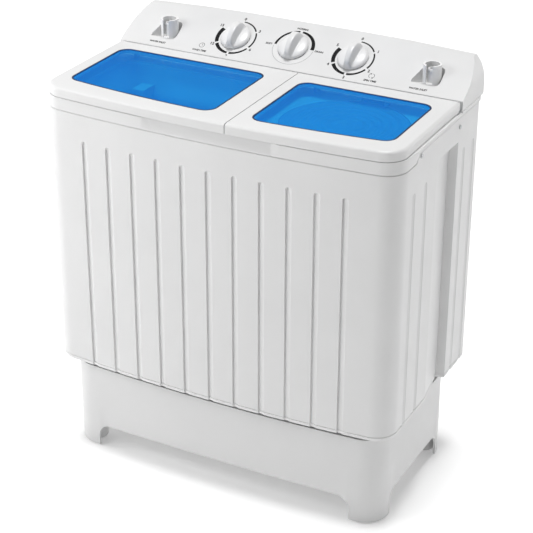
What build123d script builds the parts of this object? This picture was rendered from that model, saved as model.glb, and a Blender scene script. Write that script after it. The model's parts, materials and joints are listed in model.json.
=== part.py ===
"""Twin tub washer: a wash tub and a spin basket side by side in one plastic cabinet.

Millimetres. +Z is up and -Y is the front. The origin is on the floor, at the middle of the footprint.
Each function returns one physical piece, and each piece goes to its own STEP file.
"""
from build123d import *
import math
import os

# ---------------------------------------------------------------- driving dimensions
HALF_WIDTH = 342.5          # cabinet side faces
FRONT_Y = -179.5            # front corners of the cabinet
BACK_Y = 182.0              # cabinet back face
FRONT_BOW = 16.5            # how far the front bulges at the middle
FRONT_R = 40.0              # plan radius of the front corners
BACK_R = 14.0               # plan radius of the back corners
WALL = 4.5                  # cabinet wall
SKIN = 3.0                  # other moulded walls
RUN = 0.05                  # radial clearance of a running fit
FAR = 400.0                 # beyond the machine on any side, for cutters

CABINET_Z = 193.0           # bottom edge of the cabinet
SEAM_Z = 696.0              # front seam between cabinet and top frame
EAR_Z = 710.5               # cabinet side walls rise to here behind the band
EAR_Y = -104.0              # where the side walls step up
DECK_Z = 713.0              # top face of the deck that carries lids and tubs
DECK_T = 4.0
LIP_Z = 719.0               # top of the frame, where the lids rest
LIP_PROUD = 2.5             # how far the side lip stands out
LID_TOP_Z = 738.0

WASH_X = -155.0             # wash tub centre
SPIN_X = 188.0              # spin basket centre
WASH_Y = -52.0
SPIN_Y = -58.0
LID_SPLIT_X = 33.0          # seam between the two lids

HINGE_Y = 72.0              # lid hinge axis
HINGE_Z = 728.0
PIN_R = 3.0
LID_HALF_WIDTH = 341.0
LID_BACK_Y = 81.0

CONSOLE_FRONT_Y = 85.0
CONSOLE_BACK_Y = 186.0
CONSOLE_TOP_Z = 796.5
FACE_START_Y = 85.0         # lower edge of the sloped control face
FACE_START_Z = 737.4
FACE_TILT = 30.55           # degrees from horizontal
KNOB_Y = 129.5
KNOB_PITCH = 118.5
KNOB_MID_X = -2.5

# ---------------------------------------------------------------- plan outlines and helpers


def plan_outline(half_width, front_y, back_y, bow, front_r, back_r, inset=0.0):
    """Plan face with a bowed front, straight sides and back, and rounded corners."""
    w = half_width - inset
    f = front_y + inset
    b = back_y - inset
    edges = [
        ThreePointArc((-w, f), (0, f - bow), (w, f)),
        Line((w, f), (w, b)),
        Line((w, b), (-w, b)),
        Line((-w, b), (-w, f)),
    ]
    face = make_face(edges)
    fronts = [v for v in face.vertices() if v.Y < 0]
    face = fillet(fronts, max(front_r - inset, 1.0))
    if back_r > inset:
        backs = [v for v in face.vertices() if v.Y > b - 0.01]
        face = fillet(backs, back_r - inset)
    return face


def body_outline(inset=0.0, half_width=HALF_WIDTH):
    """Plan outline of the cabinet, moved inwards by inset."""
    return plan_outline(half_width, FRONT_Y, BACK_Y, FRONT_BOW, FRONT_R, BACK_R, inset)


def prism(face, low, high):
    """Extrude a plan face from one height to another."""
    return Pos(0, 0, low) * extrude(face, amount=high - low, dir=(0, 0, 1))


def block(x0, x1, y0, y1, z0, z1):
    """Box given by its six faces."""
    return Pos((x0 + x1) / 2, (y0 + y1) / 2, (z0 + z1) / 2) * Box(x1 - x0, y1 - y0, z1 - z0)


def rod(radius, x, y, z0, z1):
    """Upright cylinder."""
    return Pos(x, y, (z0 + z1) / 2) * Cylinder(radius, z1 - z0)


def rod_x(radius, x0, x1, y, z):
    """Cylinder along X."""
    return Pos((x0 + x1) / 2, y, z) * Rot(0, 90, 0) * Cylinder(radius, x1 - x0)


def rod_y(radius, x, y0, y1, z):
    """Cylinder along Y."""
    return Pos(x, (y0 + y1) / 2, z) * Rot(90, 0, 0) * Cylinder(radius, y1 - y0)


def ring(outer, inner, x, y, z0, z1):
    """Upright tube."""
    return rod(outer, x, y, z0, z1) - rod(inner, x, y, z0 - 1, z1 + 1)


def rounded_plate(x0, x1, y0, y1, radius, z0, z1):
    """Upright prism on a rectangle with rounded corners."""
    face = Pos((x0 + x1) / 2, (y0 + y1) / 2) * RectangleRounded(x1 - x0, y1 - y0, radius)
    return prism(face, z0, z1)


def spun(points, x, y):
    """Solid of revolution about an upright axis, from (radius, height) points."""
    profile = make_face(Polyline(*points, close=True))
    upright = Plane.XZ * profile
    return Pos(x, y, 0) * revolve(upright, Axis.Z)


def bent_pipe(route, outer, inner, bend):
    """Pipe along straight runs joined by arcs."""
    path = FilletPolyline(*route, radius=bend)
    section = Plane(origin=path @ 0, z_dir=path % 0) * (Circle(outer) - Circle(inner))
    return sweep(section, path=path)


def front_surface_y(x):
    """Y of the bowed front face at a given x."""
    radius = (HALF_WIDTH ** 2 + FRONT_BOW ** 2) / (2 * FRONT_BOW)
    centre_y = FRONT_Y - FRONT_BOW + radius
    return centre_y - math.sqrt(radius ** 2 - x ** 2)


def face_frame(x, y):
    """Location on the sloped control face with its Z pointing out of the face."""
    tilt = math.radians(FACE_TILT)
    z = FACE_START_Z + (y - FACE_START_Y) * math.tan(tilt)
    return Pos(x, y, z) * Rot(FACE_TILT, 0, 0)


def joined(solids):
    """One compound of separate solids."""
    return Compound(children=[s for part in solids for s in part.solids()])


# ---------------------------------------------------------------- cabinet
GROOVE_PITCH = 50.5
GROOVE_R = 6.25             # section radius of a groove
GROOVE_DEPTH = 2.5
FRONT_GROOVE_TOP = 641.0
SIDE_GROOVE_TOP = 639.0
SIDE_GROOVES_Y = (-115.0, -64.5, 106.0, 151.5)
RECESS_BACK_Y = 75.0        # steep back wall of the side recess
RECESS_START_Y = -18.0      # where its floor leaves the side face
RECESS_DEPTH = 16.0
RECESS_TOP_Z = 666.0
REAR_WINDOW = (-285.0, 285.0, 225.0, 560.0)   # x0, x1, z0, z1 of the service opening
COVER_LAP = 14.0
SIDE_SCREWS = ((-91.0, 703.0), (81.5, 692.0))


def groove(x, y, top):
    """Cutter for one round-bottomed groove that runs out at the bottom edge."""
    return rod(GROOVE_R, x, y, CABINET_Z - 5, top) + Pos(x, y, top) * Sphere(GROOVE_R)


def recess_cutter(side, offset=0.0):
    """Wedge in the side wall: a gentle ramp, a steep back wall and a roof at 45 degrees."""
    w = HALF_WIDTH
    plan = [
        (w + 2, RECESS_START_Y - offset * 3),
        (w + 2, RECESS_BACK_Y + offset),
        (w - RECESS_DEPTH - offset, RECESS_BACK_Y + offset),
        (w - offset, RECESS_START_Y - offset * 3),
    ]
    wedge = prism(make_face(Polyline(*plan, close=True)), CABINET_Z - 5, RECESS_TOP_Z + offset)
    roof = Pos(w + 1, 0, RECESS_TOP_Z + offset) * Rot(0, -45, 0) * Pos(-40, 0, 20) * Box(80, 400, 40)
    wedge = wedge - roof
    return wedge if side > 0 else mirror(wedge, Plane.YZ)


def cabinet_shell():
    """One-piece moulded cabinet: four walls, grooved front and sides, open top and bottom."""
    outer = prism(body_outline(), CABINET_Z, EAR_Z)
    outer -= block(-FAR, FAR, -FAR, EAR_Y, SEAM_Z, EAR_Z + 1)
    inner = prism(body_outline(WALL), CABINET_Z - 1, EAR_Z + 1)
    for side in (-1, 1):
        outer -= recess_cutter(side)
        inner -= recess_cutter(side, WALL)
    shell = outer - inner
    cutters = []
    for i in range(-5, 6):
        x = i * GROOVE_PITCH
        cutters.append(groove(x, front_surface_y(x) + GROOVE_DEPTH - GROOVE_R, FRONT_GROOVE_TOP))
    for side in (-1, 1):
        for y in SIDE_GROOVES_Y:
            x = side * (HALF_WIDTH - GROOVE_DEPTH + GROOVE_R)
            cutters.append(groove(x, y, SIDE_GROOVE_TOP))
    x0, x1, z0, z1 = REAR_WINDOW
    cutters.append(block(x0, x1, BACK_Y - 10, BACK_Y + 10, z0, z1))
    for x, z in rear_screw_places():
        cutters.append(rod_y(SCREW_SHANK, x, BACK_Y - 10, BACK_Y + 10, z))
    for y, z in SIDE_SCREWS:
        cutters.append(rod_x(SCREW_SHANK, -FAR, FAR, y, z))
    shell -= cutters
    return shell


# ---------------------------------------------------------------- rear cover and screws
SCREW_SHANK = 2.0
SCREW_HEAD = 4.0
COVER_T = 2.5
LOUVRES = 9


def rear_screw_places():
    """Screws around the rear service opening, on the lap of its cover."""
    x0, x1, z0, z1 = REAR_WINDOW
    edge = COVER_LAP / 2
    rows = [z0 - edge, z1 + edge]
    columns = [x0 + 25, 0.0, x1 - 25]
    return [(x, z) for z in rows for x in columns]


def rear_cover():
    """Flat service cover with a raised field, louvres and the cord hole."""
    x0, x1, z0, z1 = REAR_WINDOW
    plate = block(x0 - COVER_LAP, x1 + COVER_LAP, BACK_Y, BACK_Y + COVER_T, z0 - COVER_LAP, z1 + COVER_LAP)
    field = block(x0 + 40, x1 - 40, BACK_Y + COVER_T, BACK_Y + 6, z0 + 40, z1 - 40)
    hollow = block(x0 + 43, x1 - 43, BACK_Y - 1, BACK_Y + 3.5, z0 + 43, z1 - 43)
    cover = plate + field - hollow
    slots = []
    for i in range(LOUVRES):
        z = z0 + 70 + i * 14
        slots.append(block(90, 220, BACK_Y - 5, BACK_Y + 10, z, z + 5))
    for x, z in rear_screw_places():
        slots.append(rod_y(SCREW_SHANK, x, BACK_Y - 10, BACK_Y + 10, z))
    slots.append(rod_y(GLAND_R, GLAND_X, BACK_Y - 10, BACK_Y + 10, GLAND_Z))
    return cover - slots


GLAND_X = -230.0
GLAND_Z = 245.0
GLAND_R = 9.0
CORD_R = 4.0


def cord_gland():
    """Grommet in the rear cover that the mains lead passes through."""
    body = rod_y(GLAND_R, GLAND_X, BACK_Y, BACK_Y + COVER_T, GLAND_Z)
    body += rod_y(GLAND_R + 3, GLAND_X, BACK_Y + COVER_T, BACK_Y + 6, GLAND_Z)
    body += rod_y(GLAND_R + 3, GLAND_X, BACK_Y - 4, BACK_Y, GLAND_Z)
    return body - rod_y(CORD_R, GLAND_X, BACK_Y - 20, BACK_Y + 20, GLAND_Z)


def screw_along_y(x, y, z, length=10.0):
    """Pan-head screw whose head is outside, towards +Y."""
    head = rod_y(SCREW_HEAD, x, y, y + 2.2, z)
    cross = block(x - 2.6, x + 2.6, y + 1.2, y + 3, z - 0.5, z + 0.5)
    cross += block(x - 0.5, x + 0.5, y + 1.2, y + 3, z - 2.6, z + 2.6)
    return head + rod_y(SCREW_SHANK, x, y - length, y, z) - cross


def cabinet_screws():
    """Identical screws: those of the rear cover, and those through the side walls into the top frame."""
    screws = [screw_along_y(x, BACK_Y + COVER_T, z, 7.0) for x, z in rear_screw_places()]
    for side in (-1, 1):
        for y, z in SIDE_SCREWS:
            x = side * HALF_WIDTH
            head = rod_x(SCREW_HEAD, *sorted((x, x + side * 2.0)), y, z)
            shank = rod_x(SCREW_SHANK, *sorted((x, x - side * 8.0)), y, z)
            slot = block(*sorted((x + side, x + side * 3)), y - 2.6, y + 2.6, z - 0.5, z + 0.5)
            screws.append(head + shank - slot)
    return joined(screws)


# ---------------------------------------------------------------- base
BASE_HALF_WIDTH = 323.0
BASE_FRONT_Y = -164.5
BASE_BACK_Y = 152.0
BASE_R = 46.0
BASE_BOTTOM_Z = 3.0
BASE_TONGUE_Z = 205.0       # the base reaches up inside the cabinet
FLOOR_Z = 74.0              # top face of the base's inner floor
ARCH_HALF = 265.0
ARCH_Z = 50.0
ARCH_R = 25.0
SIDE_ARCH = (-115.0, 104.0)
OUTLET_X = -262.0
OUTLET_Z = 110.0
OUTLET_R = 15.0
OUTLET_TIP_Y = 196.0
PAD_R = 15.0
PAD_PLACES = [(sx * 291.0, y) for sx in (-1, 1) for y in (-134.0, 124.0)]


def base_plinth():
    """Moulded base: a skirt with an arch on each side, an inner floor and four hollow legs."""
    def outline(inset):
        return plan_outline(BASE_HALF_WIDTH, BASE_FRONT_Y, BASE_BACK_Y, 6.0, BASE_R, BASE_R, inset)

    base = prism(outline(0), BASE_BOTTOM_Z, BASE_TONGUE_Z) - prism(outline(WALL), -1, BASE_TONGUE_Z + 1)
    base += prism(outline(WALL / 2), FLOOR_Z - 4, FLOOR_Z)
    rail = prism(body_outline(WALL), CABINET_Z + 4, CABINET_Z + 8) - prism(outline(WALL / 2), 0, FAR)
    base += rail
    for side in (-1, 1):
        base -= recess_cutter(side, WALL + 0.5) & block(-FAR, FAR, -FAR, FAR, CABINET_Z - 0.1, FAR)
    soles = []
    for x, y in PAD_PLACES:
        soles.append(rod(PAD_R + 6, x, y, BASE_BOTTOM_Z, FLOOR_Z - 3))
    base += soles
    drop = ARCH_R + 5
    front_arch = Pos(0, (ARCH_Z - drop) / 2) * RectangleRounded(2 * ARCH_HALF, ARCH_Z + drop, ARCH_R)
    base -= extrude(Plane.XZ * front_arch, amount=300, both=True)
    y0, y1 = SIDE_ARCH
    side_arch = Pos((y0 + y1) / 2, (ARCH_Z - drop) / 2) * RectangleRounded(y1 - y0, ARCH_Z + drop, ARCH_R)
    base -= extrude(Plane.YZ * side_arch, amount=FAR, both=True)
    for x, y in PAD_PLACES:
        base -= rod(PAD_R, x, y, -1, BASE_BOTTOM_Z + 4)
    base -= rod_y(OUTLET_R, OUTLET_X, 100, 200, OUTLET_Z)
    return base


def foot_pads():
    """Rubber feet pressed into the four legs."""
    return joined(rod(PAD_R, x, y, 0, BASE_BOTTOM_Z + 4) for x, y in PAD_PLACES)


# ---------------------------------------------------------------- top frame
FINGER_HALF = 133.0
FINGER_Z = (700.0, 719.0)
FINGER_DEPTH = 18.0
FINGER_END = 12.0           # run of the slanted ends
WASH_OPENING = (-316.0, 12.0, -160.0, 55.0)
WASH_OPENING_R = 38.0
SPIN_OPENING_R = 110.0
EAR_T = 8.0
EAR_R = 6.0
INNER_EAR_R = 3.8
INNER_PIN_R = 1.5
BAND_END_Y = EAR_Y - 1.0
WASH_EARS_X = (-304.0, -6.0)
SPIN_EARS_X = (70.0, 302.0)
INNER_HINGE_Y = 60.5
INNER_HINGE_Z = 717.0
INNER_EARS_X = (SPIN_X - 30, SPIN_X + 22)
CONSOLE_PORTS = ((-250.0, 90.0), (-2.5, 300.0), (250.0, 90.0))   # x, width of the holes under the console
LIP_RELIEF_Z = 716.5        # the side lips are cut down to here where the lids' rear corners swing past


def ear(x, y, z, radius, foot_z, bore):
    """Upright hinge ear with a rounded head and a cross bore."""
    body = block(x, x + EAR_T, y - radius, y + radius, foot_z, z)
    body += rod_x(radius, x, x + EAR_T, y, z)
    return body - rod_x(bore, x - 1, x + EAR_T + 1, y, z)


def finger_plan(inset):
    """Plan face of the finger recess: a shallow wedge-ended slot in the front band."""
    mouth_y = FRONT_Y - 10.5
    half = FINGER_HALF - inset
    back_y = mouth_y + FINGER_DEPTH - inset
    start_y = mouth_y - 2 * inset / SKIN
    return make_face(Polyline(
        (-half, FRONT_Y - 25), (half, FRONT_Y - 25), (half, start_y), (half - FINGER_END, back_y),
        (FINGER_END - half, back_y), (-half, start_y), close=True))


def frame_band():
    """Outer band with its side lips; it stops at the side walls, which rise behind it."""
    band = prism(body_outline(), SEAM_Z, LIP_Z) - prism(body_outline(WALL), SEAM_Z - 1, LIP_Z + 1)
    band -= block(-FAR, FAR, BAND_END_Y, FAR, SEAM_Z - 1, EAR_Z)
    lip = prism(body_outline(0, HALF_WIDTH + LIP_PROUD), EAR_Z, LIP_Z)
    return band + lip - prism(body_outline(WALL), EAR_Z - 1, LIP_Z + 1)


def frame_deck():
    """Deck inside the band, and the raised seat of the console at the back."""
    low = DECK_Z - DECK_T
    front_part = prism(body_outline(WALL / 2), low, DECK_Z) - block(-FAR, FAR, BAND_END_Y, FAR, 0, EAR_Z)
    seat = prism(body_outline(WALL / 2), DECK_Z, LIP_Z)
    seat -= block(-FAR, FAR, -FAR, CONSOLE_FRONT_Y, 0, FAR * 3)
    return front_part + prism(body_outline(WALL + 0.3), low, DECK_Z) + seat


def top_frame():
    """Frame that closes the cabinet: outer band, deck with two openings, ears and console seat."""
    frame = frame_band() + frame_deck()
    frame += prism(finger_plan(0.0), FINGER_Z[0] - SKIN, DECK_Z) & prism(body_outline(WALL / 2), 0, FAR * 3)
    frame -= prism(finger_plan(SKIN), FINGER_Z[0], FINGER_Z[1] + 1)
    x0, x1, y0, y1 = WASH_OPENING
    frame -= rounded_plate(x0, x1, y0, y1, WASH_OPENING_R, 650, LIP_Z + 1)
    frame -= rod(SPIN_OPENING_R, SPIN_X, SPIN_Y, 650, LIP_Z + 1)
    for x in WASH_EARS_X + SPIN_EARS_X:
        frame += ear(x, HINGE_Y, HINGE_Z, EAR_R, DECK_Z - 1, PIN_R + RUN)
    for x in INNER_EARS_X:
        frame += ear(x, INNER_HINGE_Y, INNER_HINGE_Z, INNER_EAR_R, DECK_Z - 1, INNER_PIN_R + RUN)
    for side in (-1, 1):
        edges = sorted((side * (HALF_WIDTH - WALL - 1), side * (LID_HALF_WIDTH + 0.5)))
        frame -= block(*edges, HINGE_Y - 8, CONSOLE_FRONT_Y, LIP_RELIEF_Z, LIP_Z + 1)
    for x, width in CONSOLE_PORTS:
        frame -= block(x - width / 2, x + width / 2, 95, 170, 700, LIP_Z + 1)
    boss_x = HALF_WIDTH - WALL - 0.2
    for y, z in SIDE_SCREWS:
        for side in (-1, 1):
            edges = sorted((side * boss_x, side * (boss_x - 11.8)))
            frame += block(*edges, y - 8, y + 8, z - 8, DECK_Z - 1)
            frame -= rod_x(SCREW_SHANK, *sorted((side * (HALF_WIDTH - 14), side * FAR)), y, z)
    return frame


# ---------------------------------------------------------------- wash tub
TUB_BOTTOM_Z = 300.0
TUB_RIM_Z = DECK_Z - DECK_T
TUB_R = 42.0
DRAIN_X = OUTLET_X
DRAIN_Y = 28.0
DRAIN_R = 14.0
OVERFLOW_X = (-290.0, -246.0)


def wash_tub():
    """Open wash tub that hangs from the deck by its rim."""
    x0, x1, y0, y1 = WASH_OPENING
    tub = rounded_plate(x0 - SKIN, x1 + SKIN, y0 - SKIN, y1 + SKIN, TUB_R, TUB_BOTTOM_Z, TUB_RIM_Z)
    tub += rounded_plate(x0 - 10, x1 + 10, y0 - 10, y1 + 8, TUB_R + 4, TUB_RIM_Z - 4, TUB_RIM_Z)
    tub -= rounded_plate(x0, x1, y0, y1, WASH_OPENING_R, TUB_BOTTOM_Z + 4, TUB_RIM_Z + 1)
    tub -= rod(SEAL_R, WASH_X, WASH_Y, TUB_BOTTOM_Z - 1, TUB_BOTTOM_Z + 5)
    tub -= rod(DRAIN_R, DRAIN_X, DRAIN_Y, TUB_BOTTOM_Z - 1, TUB_BOTTOM_Z + 5)
    for z in (360, 395, 430):
        tub -= rod_y(3.0, WASH_X, 40, 70, z)
    return tub


def overflow_cover():
    """Tall slotted cover over the overflow channel and the drain valve rod, in the tub's rear corner."""
    x0, x1 = OVERFLOW_X
    y1 = WASH_OPENING[3]
    cover = block(x0 + 20, x1, y1 - 52, y1 - 16, TUB_BOTTOM_Z + 6, TUB_RIM_Z - 30)
    cover -= block(x0 + 16, x1 - 2.5, y1 - 49.5, y1 + 1, TUB_BOTTOM_Z + 4, TUB_RIM_Z - 33)
    cover += block(x1 - 2.5, x1, y1 - 52, y1, TUB_BOTTOM_Z + 6, TUB_RIM_Z - 30)
    slots = []
    for i in range(9):
        z = TUB_BOTTOM_Z + 30 + i * 9
        slots.append(block(x1 - 6, x1 + 1, y1 - 42, y1 - 12, z, z + 4))
    return cover - slots


def lint_filter():
    """Framed lint catcher clipped to the rear wall of the wash tub."""
    y1 = WASH_OPENING[3]
    x0, x1 = WASH_X - 55, WASH_X + 55
    frame = block(x0, x1, y1 - 16, y1, 470, 630) - block(x0 + 4, x1 - 4, y1 - 13, y1 - 3, 474, 640)
    for i in range(5):
        for j in range(3):
            x = x0 + 9 + j * 32
            z = 484 + i * 28
            frame -= block(x, x + 26, y1 - 17, y1 - 12, z, z + 20)
    return frame


# ---------------------------------------------------------------- wash drive
SEAL_R = 16.0
SHAFT_R = 7.0
PULSATOR_R = 104.0
GEARBOX_R = 50.0
FLANGE_R = 67.0
BOLT_CIRCLE_R = 59.0
BELT_Z = 206.0              # middle height of the belt
BELT_H = 10.0
BELT_T = 6.0
BIG_PULLEY_R = 70.0
SMALL_PULLEY_R = 20.0
WASH_MOTOR_X = -12.0
WASH_MOTOR_Y = -52.0
MOTOR_R = 56.0


def pulsator():
    """Ribbed disc that drives the water, with six curved vanes and a domed hub."""
    z = TUB_BOTTOM_Z + 8
    disc = spun([(0, z), (PULSATOR_R, z), (PULSATOR_R, z + 3), (60, z + 7), (30, z + 16), (0, z + 22)],
                WASH_X, WASH_Y)
    vanes = []
    for i in range(6):
        vane = spun([(26, z + 2), (96, z + 2), (96, z + 7), (60, z + 20), (26, z + 24)], 0, 0)
        vane = vane & block(0, 110, -4, 4, 0, 800)
        vanes.append(Pos(WASH_X, WASH_Y, 0) * Rot(0, 0, 60 * i) * vane)
    disc += vanes
    disc -= rod(SHAFT_R, WASH_X, WASH_Y, z - 1, z + 14)
    disc -= rod(SCREW_SHANK, WASH_X, WASH_Y, z, z + 40)
    disc -= rod(6.0, WASH_X, WASH_Y, z + 20, z + 40)
    return disc


def pulsator_screw():
    """Screw that clamps the pulsator on its shaft."""
    z = TUB_BOTTOM_Z + 8
    return rod(6.0, WASH_X, WASH_Y, z + 20, z + 25) + rod(SCREW_SHANK, WASH_X, WASH_Y, z + 14, z + 20)


def pulsator_shaft():
    """Upright shaft from the big pulley to the pulsator."""
    return rod(SHAFT_R, WASH_X, WASH_Y, BELT_Z - 10, TUB_BOTTOM_Z + 22)


def pulsator_seal():
    """Lip seal in the floor of the wash tub."""
    body = rod(SEAL_R, WASH_X, WASH_Y, TUB_BOTTOM_Z, TUB_BOTTOM_Z + 4)
    body += rod(SEAL_R - 5, WASH_X, WASH_Y, TUB_BOTTOM_Z + 4, TUB_BOTTOM_Z + 7)
    return body - rod(SHAFT_R + RUN, WASH_X, WASH_Y, TUB_BOTTOM_Z - 1, TUB_BOTTOM_Z + 9)


def gearbox_places():
    """Bolt places on the gearbox flange."""
    return [(WASH_X + BOLT_CIRCLE_R * math.cos(a), WASH_Y + BOLT_CIRCLE_R * math.sin(a))
            for a in (math.radians(45 + 90 * i) for i in range(4))]


def gearbox_housing():
    """Bearing and reduction housing under the wash tub floor."""
    body = rod(GEARBOX_R, WASH_X, WASH_Y, 226, TUB_BOTTOM_Z)
    body += rod(FLANGE_R, WASH_X, WASH_Y, TUB_BOTTOM_Z - 6, TUB_BOTTOM_Z)
    for i in range(4):
        rib = block(GEARBOX_R - 3, FLANGE_R - 2, -2, 2, 240, TUB_BOTTOM_Z - 5)
        body += Pos(WASH_X, WASH_Y, 0) * Rot(0, 0, 90 * i) * rib
    body -= rod(12.0, WASH_X, WASH_Y, 200, TUB_BOTTOM_Z + 1)
    for x, y in gearbox_places():
        body -= rod(3.0, x, y, 280, TUB_BOTTOM_Z + 1)
    return body


def gearbox_bolts():
    """Bolts that hold the gearbox to the tub floor."""
    bolts = []
    for x, y in gearbox_places():
        head = Pos(x, y, TUB_BOTTOM_Z - 6 - 4) * extrude(RegularPolygon(6.0, 6), amount=4)
        bolts.append(head + rod(3.0, x, y, TUB_BOTTOM_Z - 6, TUB_BOTTOM_Z))
    return joined(bolts)


def shaft_bushes():
    """Two sintered bushes that carry the pulsator shaft."""
    return joined(ring(12.0, SHAFT_R + RUN, WASH_X, WASH_Y, z, z + 16) for z in (230, TUB_BOTTOM_Z - 18))


def pulley(radius, x, y, bore, hub):
    """Flat-groove pulley."""
    low = BELT_Z - BELT_H / 2 - 3
    high = BELT_Z + BELT_H / 2 + 3
    body = rod(radius, x, y, low, high)
    body -= ring(radius + 1, radius - BELT_T, x, y, BELT_Z - BELT_H / 2 - 0.3, BELT_Z + BELT_H / 2 + 0.3)
    if radius > 40:
        body -= ring(radius - 14, hub + 4, x, y, BELT_Z + 3, high + 1)
        for i in range(6):
            hole = rod(9.0, 36, 0, low - 1, high + 1)
            body -= Pos(x, y, 0) * Rot(0, 0, 60 * i) * hole
    return body - rod(bore, x, y, low - 1, high + 1)


def wash_pulley():
    """Large pulley on the pulsator shaft."""
    return pulley(BIG_PULLEY_R, WASH_X, WASH_Y, SHAFT_R, 14.0)


def motor_pulley():
    """Small pulley on the wash motor shaft."""
    return pulley(SMALL_PULLEY_R, WASH_MOTOR_X, WASH_MOTOR_Y, 5.0, 8.0)


def belt_outline(grow):
    """Plan face of the loop that runs tangent to both pulleys."""
    big = BIG_PULLEY_R - BELT_T + grow
    small = SMALL_PULLEY_R - BELT_T + grow
    span = WASH_MOTOR_X - WASH_X
    lean = math.asin((big - small) / span)
    sx, cx = math.sin(lean), math.cos(lean)
    far_x, near_x = WASH_X + big * sx, WASH_MOTOR_X + small * sx
    corners = [(far_x, WASH_Y + big * cx), (near_x, WASH_MOTOR_Y + small * cx),
               (near_x, WASH_MOTOR_Y - small * cx), (far_x, WASH_Y - big * cx)]
    face = make_face(Polyline(*corners, close=True))
    face += Pos(WASH_X, WASH_Y) * Circle(big)
    face += Pos(WASH_MOTOR_X, WASH_MOTOR_Y) * Circle(small)
    return face


def drive_belt():
    """Belt around the two pulleys."""
    low, high = BELT_Z - BELT_H / 2, BELT_Z + BELT_H / 2
    return prism(belt_outline(BELT_T - 1.0), low, high) - prism(belt_outline(0.2), low - 1, high + 1)


def motor_case(x, y, low, high, bore_top, bore_bottom=None):
    """Motor case: a ribbed can with end caps and an inner space for the rotor."""
    can = rod(MOTOR_R, x, y, low, high)
    for i in range(12):
        rib = block(MOTOR_R - 1, MOTOR_R + 2.5, -1.5, 1.5, low + 14, high - 14)
        can += Pos(x, y, 0) * Rot(0, 0, 30 * i) * rib
    can -= rod(MOTOR_R - 14, x, y, low + 8, high - 8)
    can -= rod(bore_top, x, y, low + 20, high + 1)
    if bore_bottom:
        can -= rod(bore_bottom, x, y, low - 1, low + 20)
    return can


WASH_MOTOR_Z = (96.0, 190.0)


def wash_motor():
    """Wash motor case."""
    return motor_case(WASH_MOTOR_X, WASH_MOTOR_Y, *WASH_MOTOR_Z, 5.0 + RUN)


def wash_motor_rotor():
    """Rotor and shaft of the wash motor."""
    low, high = WASH_MOTOR_Z
    x, y = WASH_MOTOR_X, WASH_MOTOR_Y
    return rod(MOTOR_R - 16, x, y, low + 14, high - 14) + rod(5.0, x, y, low + 10, BELT_Z + 12)


def wash_motor_bracket():
    """Pressed plate and four bushes that carry the wash motor on the base floor."""
    x, y = WASH_MOTOR_X, WASH_MOTOR_Y
    low = WASH_MOTOR_Z[0]
    plate = rounded_plate(x - 70, x + 70, y - 70, y + 70, 12, low - 4, low)
    for sx in (-1, 1):
        for sy in (-1, 1):
            plate += rod(8.0, x + sx * 56, y + sy * 56, FLOOR_Z, low - 3)
    return plate - rod(30.0, x, y, low - 5, low + 1)


# ---------------------------------------------------------------- drain
VALVE_Z = (258.0, TUB_BOTTOM_Z)


def drain_valve_body():
    """Valve chamber under the tub's drain hole, with a side port from the spin housing."""
    low, high = VALVE_Z
    body = rod(24.0, DRAIN_X, DRAIN_Y, low, high) - rod(19.0, DRAIN_X, DRAIN_Y, low + 6, high + 1)
    body += rod_x(12.0, DRAIN_X + 20, DRAIN_X + 40, DRAIN_Y, low + 26)
    body -= rod_x(9.0, DRAIN_X + 5, DRAIN_X + 41, DRAIN_Y, low + 26)
    body += rod(13.0, DRAIN_X, DRAIN_Y, low - 14, low)
    return body - rod(10.0, DRAIN_X, DRAIN_Y, low - 15, low + 7)


def drain_valve_plunger():
    """Rubber bung and pull rod of the drain valve."""
    low = VALVE_Z[0] + 6
    bung = spun([(0, low), (9.6, low), (13.5, low + 0.01), (13.5, low + 5), (5, low + 12), (0, low + 12)],
                DRAIN_X, DRAIN_Y)
    return bung + rod(2.5, DRAIN_X, DRAIN_Y, low + 11, TUB_RIM_Z - 50)


def drain_pipe():
    """Pipe from the valve chamber down and back to the outlet."""
    route = [(DRAIN_X, DRAIN_Y, VALVE_Z[0] - 4), (DRAIN_X, DRAIN_Y, OUTLET_Z),
             (OUTLET_X, BASE_BACK_Y - WALL - 1, OUTLET_Z)]
    return bent_pipe(route, 16.0, 13.0, 32.0)


def drain_outlet():
    """Flanged spigot at the back of the base, where the drain hose is pushed on."""
    y = BASE_BACK_Y
    spigot = rod_y(OUTLET_R, OUTLET_X, y - WALL - 1, OUTLET_TIP_Y, OUTLET_Z)
    spigot += rod_y(OUTLET_R + 6, OUTLET_X, y, y + 3, OUTLET_Z)
    return spigot - rod_y(OUTLET_R - 3, OUTLET_X, y - 20, y + 60, OUTLET_Z)


def spin_drain_pipe():
    """Pipe from the spin housing to the valve chamber."""
    z = VALVE_Z[0] + 26
    route = [(DRAIN_X + 40, DRAIN_Y, z), (SPIN_NOZZLE_X, DRAIN_Y, z),
             (SPIN_NOZZLE_X, DRAIN_Y, SPIN_BOTTOM_Z - 18)]
    return bent_pipe(route, 11.0, 9.0, 24.0)


# ---------------------------------------------------------------- spin side
HOUSING_R = 122.0
SPIN_BOTTOM_Z = 336.0
SPIN_NOZZLE_X = 104.0
BASKET_R = 106.0
BASKET_Z = (366.0, 652.0)
SPIN_SHAFT_R = 8.0
BELLOWS_R = 34.0


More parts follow.
